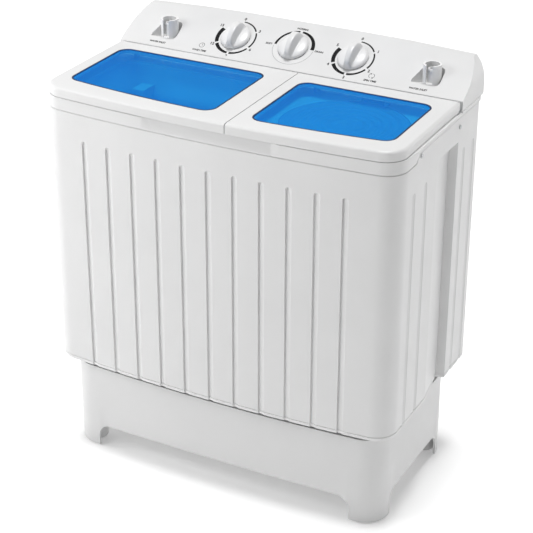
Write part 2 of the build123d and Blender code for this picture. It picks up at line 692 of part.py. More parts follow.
def spin_housing():
    """Round outer tub that catches the water thrown out by the basket."""
    x, y = SPIN_X, SPIN_Y
    cup = rod(HOUSING_R, x, y, SPIN_BOTTOM_Z, TUB_RIM_Z) - rod(
        HOUSING_R - SKIN, x, y, SPIN_BOTTOM_Z + 4, TUB_RIM_Z + 1)
    cup += ring(HOUSING_R, SPIN_OPENING_R, x, y, TUB_RIM_Z - 4, TUB_RIM_Z)
    cup -= rod(BELLOWS_R, x, y, SPIN_BOTTOM_Z - 1, SPIN_BOTTOM_Z + 5)
    cup += rod(9.0, SPIN_NOZZLE_X, DRAIN_Y, SPIN_BOTTOM_Z - 24, SPIN_BOTTOM_Z)
    return cup - rod(7.0, SPIN_NOZZLE_X, DRAIN_Y, SPIN_BOTTOM_Z - 25, SPIN_BOTTOM_Z + 5)


def spin_bellows():
    """Rubber bellows that seals the spin shaft and lets it sway."""
    z = SPIN_BOTTOM_Z
    inner = SPIN_SHAFT_R + RUN
    return spun([(BELLOWS_R, z), (BELLOWS_R, z + 4), (26, z + 8), (24, z + 14), (18, z + 12), (15, z + 20),
                 (inner, z + 20), (inner, z + 10), (12, z + 8), (22, z + 4), (24, z)], SPIN_X, SPIN_Y)


def spin_basket():
    """Perforated basket with a raised centre."""
    low, high = BASKET_Z
    x, y = SPIN_X, SPIN_Y
    wall = 2.0
    drum = spun([(0, low), (BASKET_R - 6, low), (BASKET_R, low + 6), (BASKET_R, high - 22),
                 (BASKET_R - wall, high - 22), (BASKET_R - wall, low + 7), (BASKET_R - 8, low + 3),
                 (40, low + 3), (24, low + 30), (0, low + 34)], x, y)
    holes = []
    for row in range(6):
        for column in range(8):
            turn = Rot(0, 0, 22.5 * column + 11.25 * (row % 2))
            holes.append(Pos(x, y, 0) * turn * rod_x(3.0, -120, 120, 0, low + 40 + row * 34))
    drum -= [h - rod(60, x, y, 0, 900) for h in holes]
    return drum - rod(SPIN_SHAFT_R, x, y, low - 1, low + 24)


def basket_ring():
    """Balance ring around the mouth of the basket."""
    high = BASKET_Z[1]
    inner = BASKET_R - 14
    profile = [(inner, high - 20), (BASKET_R - 2, high - 22), (BASKET_R, high - 22), (BASKET_R, high - 4),
               (BASKET_R - 4, high), (BASKET_R - 10, high), (inner, high - 6)]
    return spun(profile, SPIN_X, SPIN_Y)


SPIN_MOTOR_Z = (122.0, 216.0)
BRAKE_R = 44.0
BRAKE_Z = (232.0, 256.0)


def spin_shaft():
    """Shaft from the brake drum to the basket."""
    return rod(SPIN_SHAFT_R, SPIN_X, SPIN_Y, BRAKE_Z[0] + 6, BASKET_Z[0] + 24)


def brake_drum():
    """Brake drum and coupling between the motor shaft and the spin shaft."""
    low, high = BRAKE_Z
    x, y = SPIN_X, SPIN_Y
    drum = rod(BRAKE_R, x, y, low, high) - ring(BRAKE_R - 6, 18, x, y, low + 6, high + 1)
    return drum - rod(SPIN_SHAFT_R, x, y, low + 6, high + 1) - rod(5.0, x, y, low - 1, low + 7)


def spin_motor():
    """Spin motor case."""
    return motor_case(SPIN_X, SPIN_Y, *SPIN_MOTOR_Z, 5.0 + RUN)


def spin_motor_rotor():
    """Rotor and shaft of the spin motor."""
    low, high = SPIN_MOTOR_Z
    return rod(MOTOR_R - 16, SPIN_X, SPIN_Y, low + 14, high - 14) + rod(
        5.0, SPIN_X, SPIN_Y, low + 10, BRAKE_Z[0] + 6)


def mount_places():
    """Places of the three spring mounts around the spin motor."""
    return [(SPIN_X + 74 * math.cos(a), SPIN_Y + 74 * math.sin(a))
            for a in (math.radians(90 + 120 * i) for i in range(3))]


def spin_motor_plate():
    """Round plate under the spin motor, carried by the spring mounts."""
    low = SPIN_MOTOR_Z[0]
    plate = rod(90.0, SPIN_X, SPIN_Y, low - 4, low)
    post = block(SPIN_X - 76, SPIN_X - 66, SPIN_Y - 8, SPIN_Y + 8, low - 1, BRAKE_Z[0] + 2)
    plate += post
    return plate - rod(BRAKE_PIN_R - RUN, BRAKE_PIN_X, SPIN_Y, BRAKE_Z[0] - 12, BRAKE_Z[0] + 3)


def spring_mounts():
    """Three springs in ribbed rubber sleeves between the motor plate and the base floor."""
    high = SPIN_MOTOR_Z[0] - 4
    step = (high - FLOOR_Z) / 4
    profile = [(6, FLOOR_Z)]
    for i in range(4):
        z = FLOOR_Z + i * step
        profile += [(14, z), (17, z + step / 2), (14, z + step - 0.01)]
    profile += [(14, high), (6, high)]
    return joined(spun(profile, x, y) for x, y in mount_places())


BRAKE_PIN_X = SPIN_X - 71
BRAKE_PIN_R = 3.0


def brake_arm():
    """Lever with a lined shoe beside the brake drum; it swings on an upright pin."""
    low, high = BRAKE_Z[0] + 2.5, BRAKE_Z[1] - 4
    x, y = BRAKE_PIN_X, SPIN_Y
    arm = rod(8.0, x, y, low, high) + block(x - 4, x + 4, y, y + 52, low, high - 8)
    arm += block(x - 4, x + 40, y + 44, y + 54, low, high - 8)
    shoe = block(x + 34, x + 66, y + 44, y + 54, low, high)
    shoe -= rod(BRAKE_R + 3.5, SPIN_X, SPIN_Y, low - 1, high + 1)
    return arm + shoe - rod(BRAKE_PIN_R, x, y, low - 1, high + 1)


def brake_pin():
    """Pivot pin of the brake arm."""
    return rod(BRAKE_PIN_R - RUN, BRAKE_PIN_X, SPIN_Y, BRAKE_Z[0] - 12, BRAKE_Z[1])


# ---------------------------------------------------------------- lids
LID_SKIN = 3.0
LID_SIDE_Z = LIP_Z + 0.8    # lower edge of the lid skirts
WINDOW_HALF = 320.0
WINDOW_FRONT_Y = -136.0
WINDOW_BOW = 24.0
WINDOW_R = 22.0
WINDOW_T = 2.0
LEDGE = 4.0
WASH_WINDOW = (-314.0, -12.0, 48.0)     # x0, x1, back y
SPIN_WINDOW = (57.0, 310.0, 45.0)
LUG_T = 6.0


def lid_outline(x0, x1, inset=0.0):
    """Plan face of one lid: the bowed outline between two seams."""
    whole = plan_outline(LID_HALF_WIDTH, FRONT_Y, LID_BACK_Y, FRONT_BOW, FRONT_R, 3.0, inset)
    strip = Pos((x0 + x1) / 2, 0) * Rectangle(x1 - x0 - 2 * inset, 600)
    return whole & strip


def window_outline(window, inset=0.0):
    """Plan face of a lid window, whose front edge follows the bow of the lid."""
    x0, x1, back_y = window
    w = WINDOW_HALF
    edges = [ThreePointArc((-w, WINDOW_FRONT_Y), (0, WINDOW_FRONT_Y - WINDOW_BOW), (w, WINDOW_FRONT_Y)),
             Line((w, WINDOW_FRONT_Y), (w, back_y)), Line((w, back_y), (-w, back_y)),
             Line((-w, back_y), (-w, WINDOW_FRONT_Y))]
    face = make_face(edges) & (Pos((x0 + x1) / 2, 0) * Rectangle(x1 - x0, 600))
    face = fillet(face.vertices(), WINDOW_R)
    return offset(face, -inset) if inset else face


def lid_frame(x0, x1, window, ears_x):
    """Lid frame with skirts, a ledge for the window and two hinge lugs."""
    lid = prism(lid_outline(x0, x1), LID_SIDE_Z, LID_TOP_Z)
    top_edges = [e for e in lid.edges() if e.bounding_box().min.Z > LID_TOP_Z - 0.1]
    lid = fillet(top_edges, 3.0)
    lid -= prism(lid_outline(x0, x1, LID_SKIN), LID_SIDE_Z - 1, LID_TOP_Z - LID_SKIN)
    lid -= block(-400, 400, HINGE_Y - 9, 200, LID_SIDE_Z - 1, LID_TOP_Z - LID_SKIN) & block(
        x0 + LID_SKIN, x1 - LID_SKIN, -100, 200, 0, 900)
    lid -= block(-400, 400, HINGE_Y, 200, LID_SIDE_Z - 1, HINGE_Z) - rod_x(8.2, -400, 400, HINGE_Y, HINGE_Z)
    lid += prism(window_outline(window, -3.0), LID_TOP_Z - 7, LID_TOP_Z - 2)
    lid -= prism(window_outline(window), LID_TOP_Z - WINDOW_T, LID_TOP_Z + 1)
    lid -= prism(window_outline(window, LEDGE), LID_TOP_Z - 20, LID_TOP_Z + 1)
    for ear_x in ears_x:
        for x in (ear_x - LUG_T - 0.5, ear_x + EAR_T + 0.5):
            lug = block(x, x + LUG_T, HINGE_Y - 6, HINGE_Y + 6, HINGE_Z, LID_TOP_Z - 2)
            lug += rod_x(6.0, x, x + LUG_T, HINGE_Y, HINGE_Z)
            lid += lug
        lid += rod_x(PIN_R, ear_x - 1, ear_x + EAR_T + 1, HINGE_Y, HINGE_Z)
    return lid


def wash_lid_frame():
    """Left lid."""
    return lid_frame(-LID_HALF_WIDTH, LID_SPLIT_X - 0.6, WASH_WINDOW, WASH_EARS_X)


def spin_lid_frame():
    """Right lid."""
    return lid_frame(LID_SPLIT_X + 0.6, LID_HALF_WIDTH, SPIN_WINDOW, SPIN_EARS_X)


def lid_window(window):
    """Clear coloured pane that sits on the ledge of the lid."""
    return prism(window_outline(window), LID_TOP_Z - WINDOW_T, LID_TOP_Z)


INNER_LID_R = 113.0


def spin_inner_lid():
    """Round ridged safety cover over the spin basket, with a rear hinge tongue."""
    x, y = SPIN_X, SPIN_Y
    z = DECK_Z + 0.5
    disc = rod(INNER_LID_R, x, y, z, z + 2)
    for radius in (30, 50, 70, 90):
        disc += ring(radius + 2, radius - 2, x, y, z + 1, z + 4)
    disc += ring(INNER_LID_R, INNER_LID_R - 4, x, y, z + 1, z + 5)
    disc += rod(12.0, x, y, z + 1, z + 5)
    disc += block(x - 15, x + 15, y - INNER_LID_R - 8, y - INNER_LID_R + 6, z, z + 3)
    left = INNER_EARS_X[0] + EAR_T + 0.5
    right = INNER_EARS_X[1] - 0.5
    disc += block(left, right, y + INNER_LID_R - 6, INNER_HINGE_Y, z, z + 3)
    disc += rod_x(3.5, left, right, INNER_HINGE_Y, INNER_HINGE_Z)
    pin_ends = (INNER_EARS_X[0] - 1, INNER_EARS_X[1] + EAR_T + 1)
    return disc + rod_x(INNER_PIN_R, *pin_ends, INNER_HINGE_Y, INNER_HINGE_Z)


# ---------------------------------------------------------------- console
CORNER_ARC_R = 65.0         # rounded upper corners of the console, seen from the front
CORNER_ARC_X = 279.0
CORNER_ARC_Z = 745.0
POCKET_W = 52.0
POCKET_FRONT_Y = 103.0
POCKET_BACK_Y = 151.0
POCKETS_X = (-289.0, 238.0)         # left edge of each hose pocket
POCKET_TIP_Z = 749.0
POCKET_FALL = 16.0          # degrees that the pocket floor falls towards the back
HOLDER_X = 34.0             # holder axis from the pocket's left edge
HOLDER_Y = 118.5
HOLDER_R = 16.5
HOLDER_BORE = 12.8
HOLDER_TOP_Z = 783.0
SPIGOT_R = 8.0              # inlet spigot inside the holder
SPIGOT_BORE = 6.0
DUCT_END_Y = 66.0           # front end of the water channels


def console_solid(inset):
    """Outer or inner form of the console: sloped face, crowned top and rounded upper corners."""
    tilt = math.radians(FACE_TILT)
    face_z = FACE_START_Z - inset / math.cos(tilt)
    f, b = CONSOLE_FRONT_Y + inset, CONSOLE_BACK_Y - inset
    top_y = 183.5
    slope = math.tan(tilt)
    profile = [(f, LIP_Z), (f, face_z + (f - FACE_START_Y) * slope),
               (top_y, face_z + (top_y - FACE_START_Y) * slope), (b, face_z + 56), (b, LIP_Z)]
    side = Plane.YZ * make_face(Polyline(*profile, close=True))
    body = extrude(side, amount=400, both=True)
    w = HALF_WIDTH + 1.2 - inset
    corner = CORNER_ARC_R - inset
    crown_z = CONSOLE_TOP_Z - inset
    end_z = crown_z - 7.5
    end_x = CORNER_ARC_X + math.sqrt(corner ** 2 - (end_z - CORNER_ARC_Z) ** 2)
    mid = math.radians(28)
    arc_mid = (CORNER_ARC_X + corner * math.cos(mid), CORNER_ARC_Z + corner * math.sin(mid))
    arc_low = (CORNER_ARC_X + corner, CORNER_ARC_Z)
    edges = [
        Line((-w, LIP_Z), (w, LIP_Z)),
        Line((w, LIP_Z), arc_low),
        ThreePointArc(arc_low, arc_mid, (end_x, end_z)),
        ThreePointArc((end_x, end_z), (0, crown_z), (-end_x, end_z)),
        ThreePointArc((-end_x, end_z), (-arc_mid[0], arc_mid[1]), (-arc_low[0], arc_low[1])),
        Line((-arc_low[0], arc_low[1]), (-w, LIP_Z)),
    ]
    front = Plane.XZ * make_face(edges)
    front_prism = extrude(front, amount=400, both=True)
    return body & front_prism


def pocket_cutter(x, grow=0.0):
    """Space of one hose pocket: rounded plan, floor that falls towards the back."""
    plan = rounded_plate(x - grow, x + POCKET_W + grow, POCKET_FRONT_Y - grow, POCKET_BACK_Y + grow,
                         14 + grow, 700, 900)
    floor = Pos(x, POCKET_FRONT_Y, POCKET_TIP_Z - grow) * Rot(-POCKET_FALL, 0, 0) * Pos(0, 0, -100) * Box(
        400, 400, 200)
    return plan - floor


def knob_x(index):
    """Centre of knob 0, 1 or 2."""
    return KNOB_MID_X + (index - 1) * KNOB_PITCH


def console_shell():
    """Moulded control console with two hose pockets, open underneath."""
    outer = console_solid(0.0)
    inner = console_solid(SKIN)
    for x in POCKETS_X:
        outer -= pocket_cutter(x)
        inner -= pocket_cutter(x, SKIN)
    shell = outer - inner
    open_half = HALF_WIDTH - 12
    shell -= block(-open_half, open_half, CONSOLE_FRONT_Y + 8, CONSOLE_BACK_Y - 8, 700, LIP_Z + 3.2)
    for x in POCKETS_X:
        shell -= rod(SPIGOT_BORE, x + HOLDER_X, HOLDER_Y, 700, 780)
    for i in range(3):
        shell -= face_frame(knob_x(i), KNOB_Y) * Cylinder(5.0, 20)
    return shell


def inlet_holder(x):
    """Slotted upright collar in the hose pocket, with the inlet spigot inside it."""
    ax = x + HOLDER_X
    floor_place = Pos(ax, POCKET_FRONT_Y, POCKET_TIP_Z) * Rot(-POCKET_FALL, 0, 0)
    floor = floor_place * Pos(0, 0, -100) * Box(200, 200, 200)
    collar = ring(HOLDER_R, HOLDER_BORE, ax, HOLDER_Y, 730, HOLDER_TOP_Z)
    collar -= block(ax - 6, ax + 6, HOLDER_Y - 30, HOLDER_Y, 752, 900)
    collar += rod(HOLDER_R, ax, HOLDER_Y, 730, 751)
    collar -= floor
    collar += rod(SPIGOT_R, ax, HOLDER_Y, 750, HOLDER_TOP_Z - 8)
    collar += rod(SPIGOT_BORE, ax, HOLDER_Y, 736, 752)
    return collar - rod(SPIGOT_BORE - 1.5, ax, HOLDER_Y, 700, 800)


def inlet_ducts():
    """Two square channels under the console that lead the water from the spigots forward to the tubs."""
    ducts = []
    for left in POCKETS_X:
        ax = left + HOLDER_X
        outside = block(ax - 12, ax + 12, HOLDER_Y - 12, HOLDER_Y + 12, 690, 730)
        outside += block(ax - 12, ax + 12, DUCT_END_Y, HOLDER_Y, 690, DECK_Z - DECK_T - 0.5)
        inside = block(ax - 10, ax + 10, HOLDER_Y - 10, HOLDER_Y + 10, 692, 731)
        inside += block(ax - 10, ax + 10, DUCT_END_Y - 1, HOLDER_Y, 692, DECK_Z - DECK_T - 2.5)
        ducts.append(outside - inside)
    return joined(ducts)


# ---------------------------------------------------------------- knobs and timers
KNOB_R = 28.5
KNOB_TOP = 24.0
KNOB_SHAFT_R = 3.0
SPINDLE_LOW = -18.0
SPINDLE_TOP = 14.0


def knob(index):
    """Domed knob with one tapered grip across it that points up the face at rest."""
    dome = spun([(0, 0.8), (KNOB_R, 0.8), (KNOB_R, 4.5), (KNOB_R - 1.5, 6.0), (KNOB_R - 4, 6.6),
                 (KNOB_R - 9, 9.0), (12, 11.5), (0, 12.5)], 0, 0)
    grip_plan = make_face([
        ThreePointArc((-9, -18), (0, -27), (9, -18)), Line((9, -18), (4.5, 22)),
        ThreePointArc((4.5, 22), (0, 27), (-4.5, 22)), Line((-4.5, 22), (-9, -18))])
    grip = extrude(grip_plan, amount=KNOB_TOP, taper=9)
    body = dome + Pos(0, 0, 2) * grip
    body -= Cylinder(KNOB_SHAFT_R, 2 * SPINDLE_TOP)
    return face_frame(knob_x(index), KNOB_Y) * body


def knob_spindle(index):
    """Spindle from the timer or switch up into the knob."""
    length = SPINDLE_TOP - SPINDLE_LOW
    spindle = Pos(0, 0, SPINDLE_LOW + length / 2) * Cylinder(KNOB_SHAFT_R, length)
    return face_frame(knob_x(index), KNOB_Y) * spindle


def timer_body(index, width, depth):
    """Timer or switch case behind the control face."""
    case = Pos(0, 0, -SKIN - 1 - depth / 2) * Box(width, 40, depth)
    case += Pos(0, 0, -SKIN - 0.5) * Cylinder(9, 1)
    case -= Pos(0, 0, (SPINDLE_LOW - 1) / 2) * Cylinder(KNOB_SHAFT_R + RUN, 1 - SPINDLE_LOW)
    return face_frame(knob_x(index), KNOB_Y) * case


def capacitor():
    """Motor capacitor standing on the base floor."""
    return rod(20.0, 60, 100, FLOOR_Z, FLOOR_Z + 74) - rod(17.0, 60, 100, FLOOR_Z + 70, FLOOR_Z + 75)


def lid_switch():
    """Safety switch under the console, beside the spin lid's hinge."""
    return block(318, 332, 92, 120, LIP_Z, LIP_Z + 13) + block(314, 318, 94, 98, LIP_Z + 3, LIP_Z + 9)


# ---------------------------------------------------------------- write the parts
PIECES = {
    "cabinet_shell": cabinet_shell,
    "rear_cover": rear_cover,
    "cabinet_screws": cabinet_screws,
    "cord_gland": cord_gland,
    "base_plinth": base_plinth,
    "foot_pads": foot_pads,
    "top_frame": top_frame,
    "wash_tub": wash_tub,
    "overflow_cover": overflow_cover,
    "lint_filter": lint_filter,
    "pulsator": pulsator,
    "pulsator_screw": pulsator_screw,
    "pulsator_shaft": pulsator_shaft,
    "pulsator_seal": pulsator_seal,
    "gearbox_housing": gearbox_housing,
    "gearbox_bolts": gearbox_bolts,
    "shaft_bushes": shaft_bushes,
    "wash_pulley": wash_pulley,
    "motor_pulley": motor_pulley,
    "drive_belt": drive_belt,
    "wash_motor": wash_motor,
    "wash_motor_rotor": wash_motor_rotor,
    "wash_motor_bracket": wash_motor_bracket,
    "drain_valve_body": drain_valve_body,
    "drain_valve_plunger": drain_valve_plunger,
    "drain_pipe": drain_pipe,
    "drain_outlet": drain_outlet,
    "spin_drain_pipe": spin_drain_pipe,
    "spin_housing": spin_housing,
    "spin_bellows": spin_bellows,
    "spin_basket": spin_basket,
    "basket_ring": basket_ring,
    "spin_shaft": spin_shaft,
    "brake_drum": brake_drum,
    "brake_arm": brake_arm,
    "brake_pin": brake_pin,
    "spin_motor": spin_motor,
    "spin_motor_rotor": spin_motor_rotor,
    "spin_motor_plate": spin_motor_plate,
    "spring_mounts": spring_mounts,
    "wash_lid_frame": wash_lid_frame,
    "wash_lid_window": lambda: lid_window(WASH_WINDOW),
    "spin_lid_frame": spin_lid_frame,
    "spin_lid_window": lambda: lid_window(SPIN_WINDOW),
    "spin_inner_lid": spin_inner_lid,
    "console_shell": console_shell,
    "inlet_holder_left": lambda: inlet_holder(POCKETS_X[0]),
    "inlet_holder_right": lambda: inlet_holder(POCKETS_X[1]),
    "inlet_ducts": inlet_ducts,
    "wash_timer_knob": lambda: knob(0),
    "selector_knob": lambda: knob(1),
    "spin_timer_knob": lambda: knob(2),
    "wash_timer_spindle": lambda: knob_spindle(0),
    "selector_spindle": lambda: knob_spindle(1),
    "spin_timer_spindle": lambda: knob_spindle(2),
    "wash_timer": lambda: timer_body(0, 56, 34),
    "selector_switch": lambda: timer_body(1, 48, 24),
    "spin_timer": lambda: timer_body(2, 56, 34),
    "capacitor": capacitor,
    "lid_switch": lid_switch,
}

if __name__ == "__main__":
    os.makedirs("parts", exist_ok=True)
    for name, make in PIECES.items():
        export_step(make(), "parts/" + name + ".step")
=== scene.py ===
"""Looks of the twin tub washer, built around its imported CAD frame.

The shape functions work in millimetres, and make_piece turns them into metres.
+Z is up and -Y is the front.
"""

import json
import math

import bmesh
import bpy
from mathutils import Matrix, Vector


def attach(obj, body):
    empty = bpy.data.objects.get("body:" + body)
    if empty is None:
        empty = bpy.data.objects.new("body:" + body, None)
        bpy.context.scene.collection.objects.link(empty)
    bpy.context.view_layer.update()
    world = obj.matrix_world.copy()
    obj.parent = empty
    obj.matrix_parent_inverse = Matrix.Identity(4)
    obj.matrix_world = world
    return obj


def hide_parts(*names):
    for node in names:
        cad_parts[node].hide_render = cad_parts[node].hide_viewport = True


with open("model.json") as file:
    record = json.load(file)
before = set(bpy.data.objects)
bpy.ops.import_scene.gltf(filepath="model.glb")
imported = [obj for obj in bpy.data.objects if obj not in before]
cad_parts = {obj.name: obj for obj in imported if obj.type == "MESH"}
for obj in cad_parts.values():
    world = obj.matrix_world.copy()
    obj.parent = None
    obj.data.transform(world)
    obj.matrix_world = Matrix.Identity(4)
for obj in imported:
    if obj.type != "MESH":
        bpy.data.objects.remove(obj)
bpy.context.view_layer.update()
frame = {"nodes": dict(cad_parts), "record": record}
MM = 0.001

# ---------------------------------------------------------------- sizes shared with the CAD source, in mm
HALF_WIDTH = 342.5
FRONT_Y = -179.5
BACK_Y = 182.0
FRONT_BOW = 16.5
FRONT_R = 40.0
BACK_R = 14.0
WALL = 4.5
CABINET_Z = 193.0
SEAM_Z = 696.0
EAR_Z = 710.5
EAR_Y = -104.0
DECK_Z = 713.0
DECK_T = 4.0
LIP_Z = 719.0
LIP_PROUD = 2.5
LIP_RELIEF_Z = 716.5
LIP_RELIEF_Y = (64.0, 85.0)
LID_TOP_Z = 738.0
LID_HALF_WIDTH = 341.0
LID_BACK_Y = 82.6
LID_SPLIT_X = 33.0
HINGE_Y = 72.0
HINGE_Z = 728.0
WASH_X, WASH_Y = -155.0, -52.0
SPIN_X, SPIN_Y = 188.0, -58.0
CONSOLE_FRONT_Y = 85.0
CONSOLE_BACK_Y = 186.0
CONSOLE_TOP_Z = 796.5
FACE_START_Z = 737.4
FACE_TILT = math.radians(30.55)
KNOB_Y = 129.5
KNOB_XS = (-121.0, -2.5, 116.0)
GROOVE_PITCH = 50.5
FRONT_GROOVE_TOP = 641.0
SIDE_GROOVE_TOP = 639.0
SIDE_GROOVES_Y = (-115.0, -64.5, 106.0, 151.5)
RECESS_START_Y = -18.0
RECESS_BACK_Y = 75.0
RECESS_DEPTH = 16.0
RECESS_TOP_Z = 666.0
REAR_WINDOW = (-285.0, 285.0, 225.0, 560.0)
BASE_HALF_WIDTH = 323.0
BASE_FRONT_Y = -164.5
BASE_BACK_Y = 152.0
BASE_BOW = 6.0
BASE_R = 46.0
BASE_BOTTOM_Z = 3.0
BASE_FLOOR_Z = 74.0
ARCH_HALF = 265.0
ARCH_Z = 50.0
ARCH_R = 25.0
SIDE_ARCH = (-115.0, 104.0)
PAD_R = 15.0
PAD_PLACES = [(side * 291.0, y) for side in (-1, 1) for y in (-134.0, 124.0)]
WASH_OPENING = (-316.0, 12.0, -160.0, 55.0)
WASH_OPENING_R = 38.0
SPIN_OPENING_R = 110.0
TUB_BOTTOM_Z = 300.0
POCKETS_X = (-289.0, 238.0)
POCKET_W = 52.0
POCKET_FRONT_Y = 103.0
POCKET_BACK_Y = 141.0
POCKET_TIP_Z = 749.0
POCKET_FALL = math.radians(16)
HOLDER_X = 34.0
HOLDER_Y = 118.5
HOLDER_R = 16.5
HOLDER_BORE = 12.8
HOLDER_TOP_Z = 783.0

# ---------------------------------------------------------------- sizes of this model alone, in mm
GROOVE_HALF = 5.8           # half width of a groove; its section has a steep side and a long slope
GROOVE_DEPTH = 4.1
STEEP_WALL = 0.6
SLOPE_END_DEPTH = 0.5
REVEAL = 3.5                # set-back strip under the cabinet's edge, which the CAD does not have
REVEAL_SLOPE = 0.61         # how much lower its foot is for each mm that the cabinet stands out
REVEAL_INSET = 7.0


# ---------------------------------------------------------------- materials
def node_tree(name):
    """A new material, with its nodes, its links and its surface shader."""
    material = bpy.data.materials.new(name)
    material.use_nodes = True
    nodes = material.node_tree.nodes
    return material, nodes, material.node_tree.links, nodes["Principled BSDF"]


def noise(nodes, links, scale, detail=3.0):
    """Noise in object space, in features per metre."""
    place = nodes.new("ShaderNodeTexCoord")
    texture = nodes.new("ShaderNodeTexNoise")
    texture.inputs["Scale"].default_value = scale
    texture.inputs["Detail"].default_value = detail
    links.new(place.outputs["Object"], texture.inputs["Vector"])
    return texture.outputs["Fac"]


def spread(nodes, links, value, low, high):
    """Maps a noise value from its middle band to low..high."""
    node = nodes.new("ShaderNodeMapRange")
    node.inputs["From Min"].default_value = 0.3
    node.inputs["From Max"].default_value = 0.7
    node.inputs["To Min"].default_value = low
    node.inputs["To Max"].default_value = high
    links.new(value, node.inputs["Value"])
    return node.outputs["Result"]


def two_tone(nodes, links, value, first, second):
    """Colour that drifts between two tones."""
    mix = nodes.new("ShaderNodeMix")
    mix.data_type = "RGBA"
    mix.inputs[6].default_value = (*first, 1)
    mix.inputs[7].default_value = (*second, 1)
    links.new(value, mix.inputs["Factor"])
    return mix.outputs[2]


def plastic(name, colour, roughness=0.34, grain=0.02, drift=0.03, coat=0.0):
    """Moulded plastic: slight tone drift, faint smudges in the gloss, and a fine moulding grain."""
    material, nodes, links, shader = node_tree(name)
    darker = tuple(c * (1 - drift) for c in colour)
    tone = spread(nodes, links, noise(nodes, links, 9), 0, 1)
    links.new(two_tone(nodes, links, tone, darker, colour), shader.inputs["Base Color"])
    smudge = noise(nodes, links, 28, 5)
    links.new(spread(nodes, links, smudge, roughness - 0.05, roughness + 0.07), shader.inputs["Roughness"])
    bump = nodes.new("ShaderNodeBump")
    bump.inputs["Strength"].default_value = 0.35
    bump.inputs["Distance"].default_value = grain * MM
    links.new(noise(nodes, links, 1400, 2), bump.inputs["Height"])
    links.new(bump.outputs["Normal"], shader.inputs["Normal"])
    shader.inputs["IOR"].default_value = 1.46
    shader.inputs["Coat Weight"].default_value = coat
    return material


def metal(name, colour, roughness, grain, metallic=1.0):
    """Cast, sintered or plated metal with a drifting gloss."""
    material, nodes, links, shader = node_tree(name)
    darker = tuple(c * 0.8 for c in colour)
    tone = spread(nodes, links, noise(nodes, links, 60, 4), 0, 1)
    links.new(two_tone(nodes, links, tone, darker, colour), shader.inputs["Base Color"])
    links.new(spread(nodes, links, noise(nodes, links, 90, 4), roughness - 0.08, roughness + 0.12),
              shader.inputs["Roughness"])
    shader.inputs["Metallic"].default_value = metallic
    bump = nodes.new("ShaderNodeBump")
    bump.inputs["Strength"].default_value = 0.4
    bump.inputs["Distance"].default_value = grain * MM
    links.new(noise(nodes, links, 900, 3), bump.inputs["Height"])
    links.new(bump.outputs["Normal"], shader.inputs["Normal"])
    return material


def tinted_window():
    """Clear blue plastic: a strong body colour, with what lies under it showing faintly through."""
    material, nodes, links, shader = node_tree("blue_window")
    tone = spread(nodes, links, noise(nodes, links, 7), 0, 1)
    body_tone = two_tone(nodes, links, tone, (0.004, 0.24, 0.90), (0.006, 0.27, 0.97))
    links.new(body_tone, shader.inputs["Base Color"])
    smudge = noise(nodes, links, 20, 4)
    links.new(spread(nodes, links, smudge, 0.05, 0.14), shader.inputs["Roughness"])
    shader.inputs["IOR"].default_value = 1.45
    shader.inputs["Specular IOR Level"].default_value = 0.1
    clear = nodes.new("ShaderNodeBsdfTransparent")
    clear.inputs["Color"].default_value = (0.5, 0.99, 1.0, 1)
    mix = nodes.new("ShaderNodeMixShader")
    mix.inputs["Fac"].default_value = 0.33
    links.new(clear.outputs["BSDF"], mix.inputs[1])
    links.new(shader.outputs["BSDF"], mix.inputs[2])
    links.new(mix.outputs["Shader"], nodes["Material Output"].inputs["Surface"])
    return material


MATERIALS = {
    "white_plastic": plastic("white_plastic", (0.74, 0.74, 0.74)),
    "base_plastic": plastic("base_plastic", (0.73, 0.73, 0.73), 0.4),
    "knob_plastic": plastic("knob_plastic", (0.78, 0.78, 0.78), 0.3),
    "tub_plastic": plastic("tub_plastic", (0.62, 0.66, 0.70), 0.4, 0.03, 0.05),
    "inner_lid_plastic": plastic("inner_lid_plastic", (0.34, 0.40, 0.47), 0.18, 0.02, 0.05),
    "grey_plastic": plastic("grey_plastic", (0.30, 0.31, 0.32), 0.45, 0.04, 0.1),
    "black_rubber": plastic("black_rubber", (0.025, 0.025, 0.026), 0.65, 0.08, 0.3),
    "steel": metal("steel", (0.62, 0.63, 0.64), 0.28, 0.01),
    "cast_aluminium": metal("cast_aluminium", (0.66, 0.67, 0.68), 0.48, 0.06),
    "bronze": metal("bronze", (0.60, 0.40, 0.20), 0.42, 0.03),
    "blue_window": tinted_window(),
}
PRINT_INK = plastic("print_ink", (0.004, 0.004, 0.005), 0.9, 0.005, 0.2)
GREY_INK = plastic("grey_ink", (0.30, 0.30, 0.31), 0.5, 0.005, 0.1)
# Painted shade: a dark navy ring stands in for the shaded gap between each blue pane and its lid.
GAP_SHADE_BLUE = plastic("painted_gap_shade", (0.004, 0.02, 0.07), 0.5, 0.01, 0.2)
# Painted light: the hose collars get a brighter white than the rest of the white plastic, so their faces
# turned away from the lamps still look brightly lit.
COLLAR_LIT_WHITE = plastic("collar_painted_light", (0.90, 0.90, 0.90), 0.25, 0.01, 0.01, 0.3)


# ---------------------------------------------------------------- mesh helpers
def make_piece(name, bm, body, slot, replaced=(), material=None, sharp=32.0, weighted=True):
    """Turns a bmesh in mm into an object in metres that rides on a CAD body."""
    bmesh.ops.remove_doubles(bm, verts=bm.verts, dist=0.002)
    bmesh.ops.recalc_face_normals(bm, faces=bm.faces)
    bm.transform(Matrix.Scale(MM, 4))
    mesh = bpy.data.meshes.new(name)
    bm.to_mesh(mesh)
    bm.free()
    mesh.shade_smooth()
    mesh.set_sharp_from_angle(angle=math.radians(sharp))
    mesh.materials.append(material or MATERIALS[slot])
    obj = linked(name, mesh)
    if weighted:
        normals = obj.modifiers.new("even_normals", "WEIGHTED_NORMAL")
        normals.keep_sharp = True
    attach(obj, body)
    if replaced:
        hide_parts(*replaced)
    return obj


def linked(name, data):
    """New object with this data, linked to the scene."""
    obj = bpy.data.objects.new(name, data)
    bpy.context.scene.collection.objects.link(obj)
    return obj


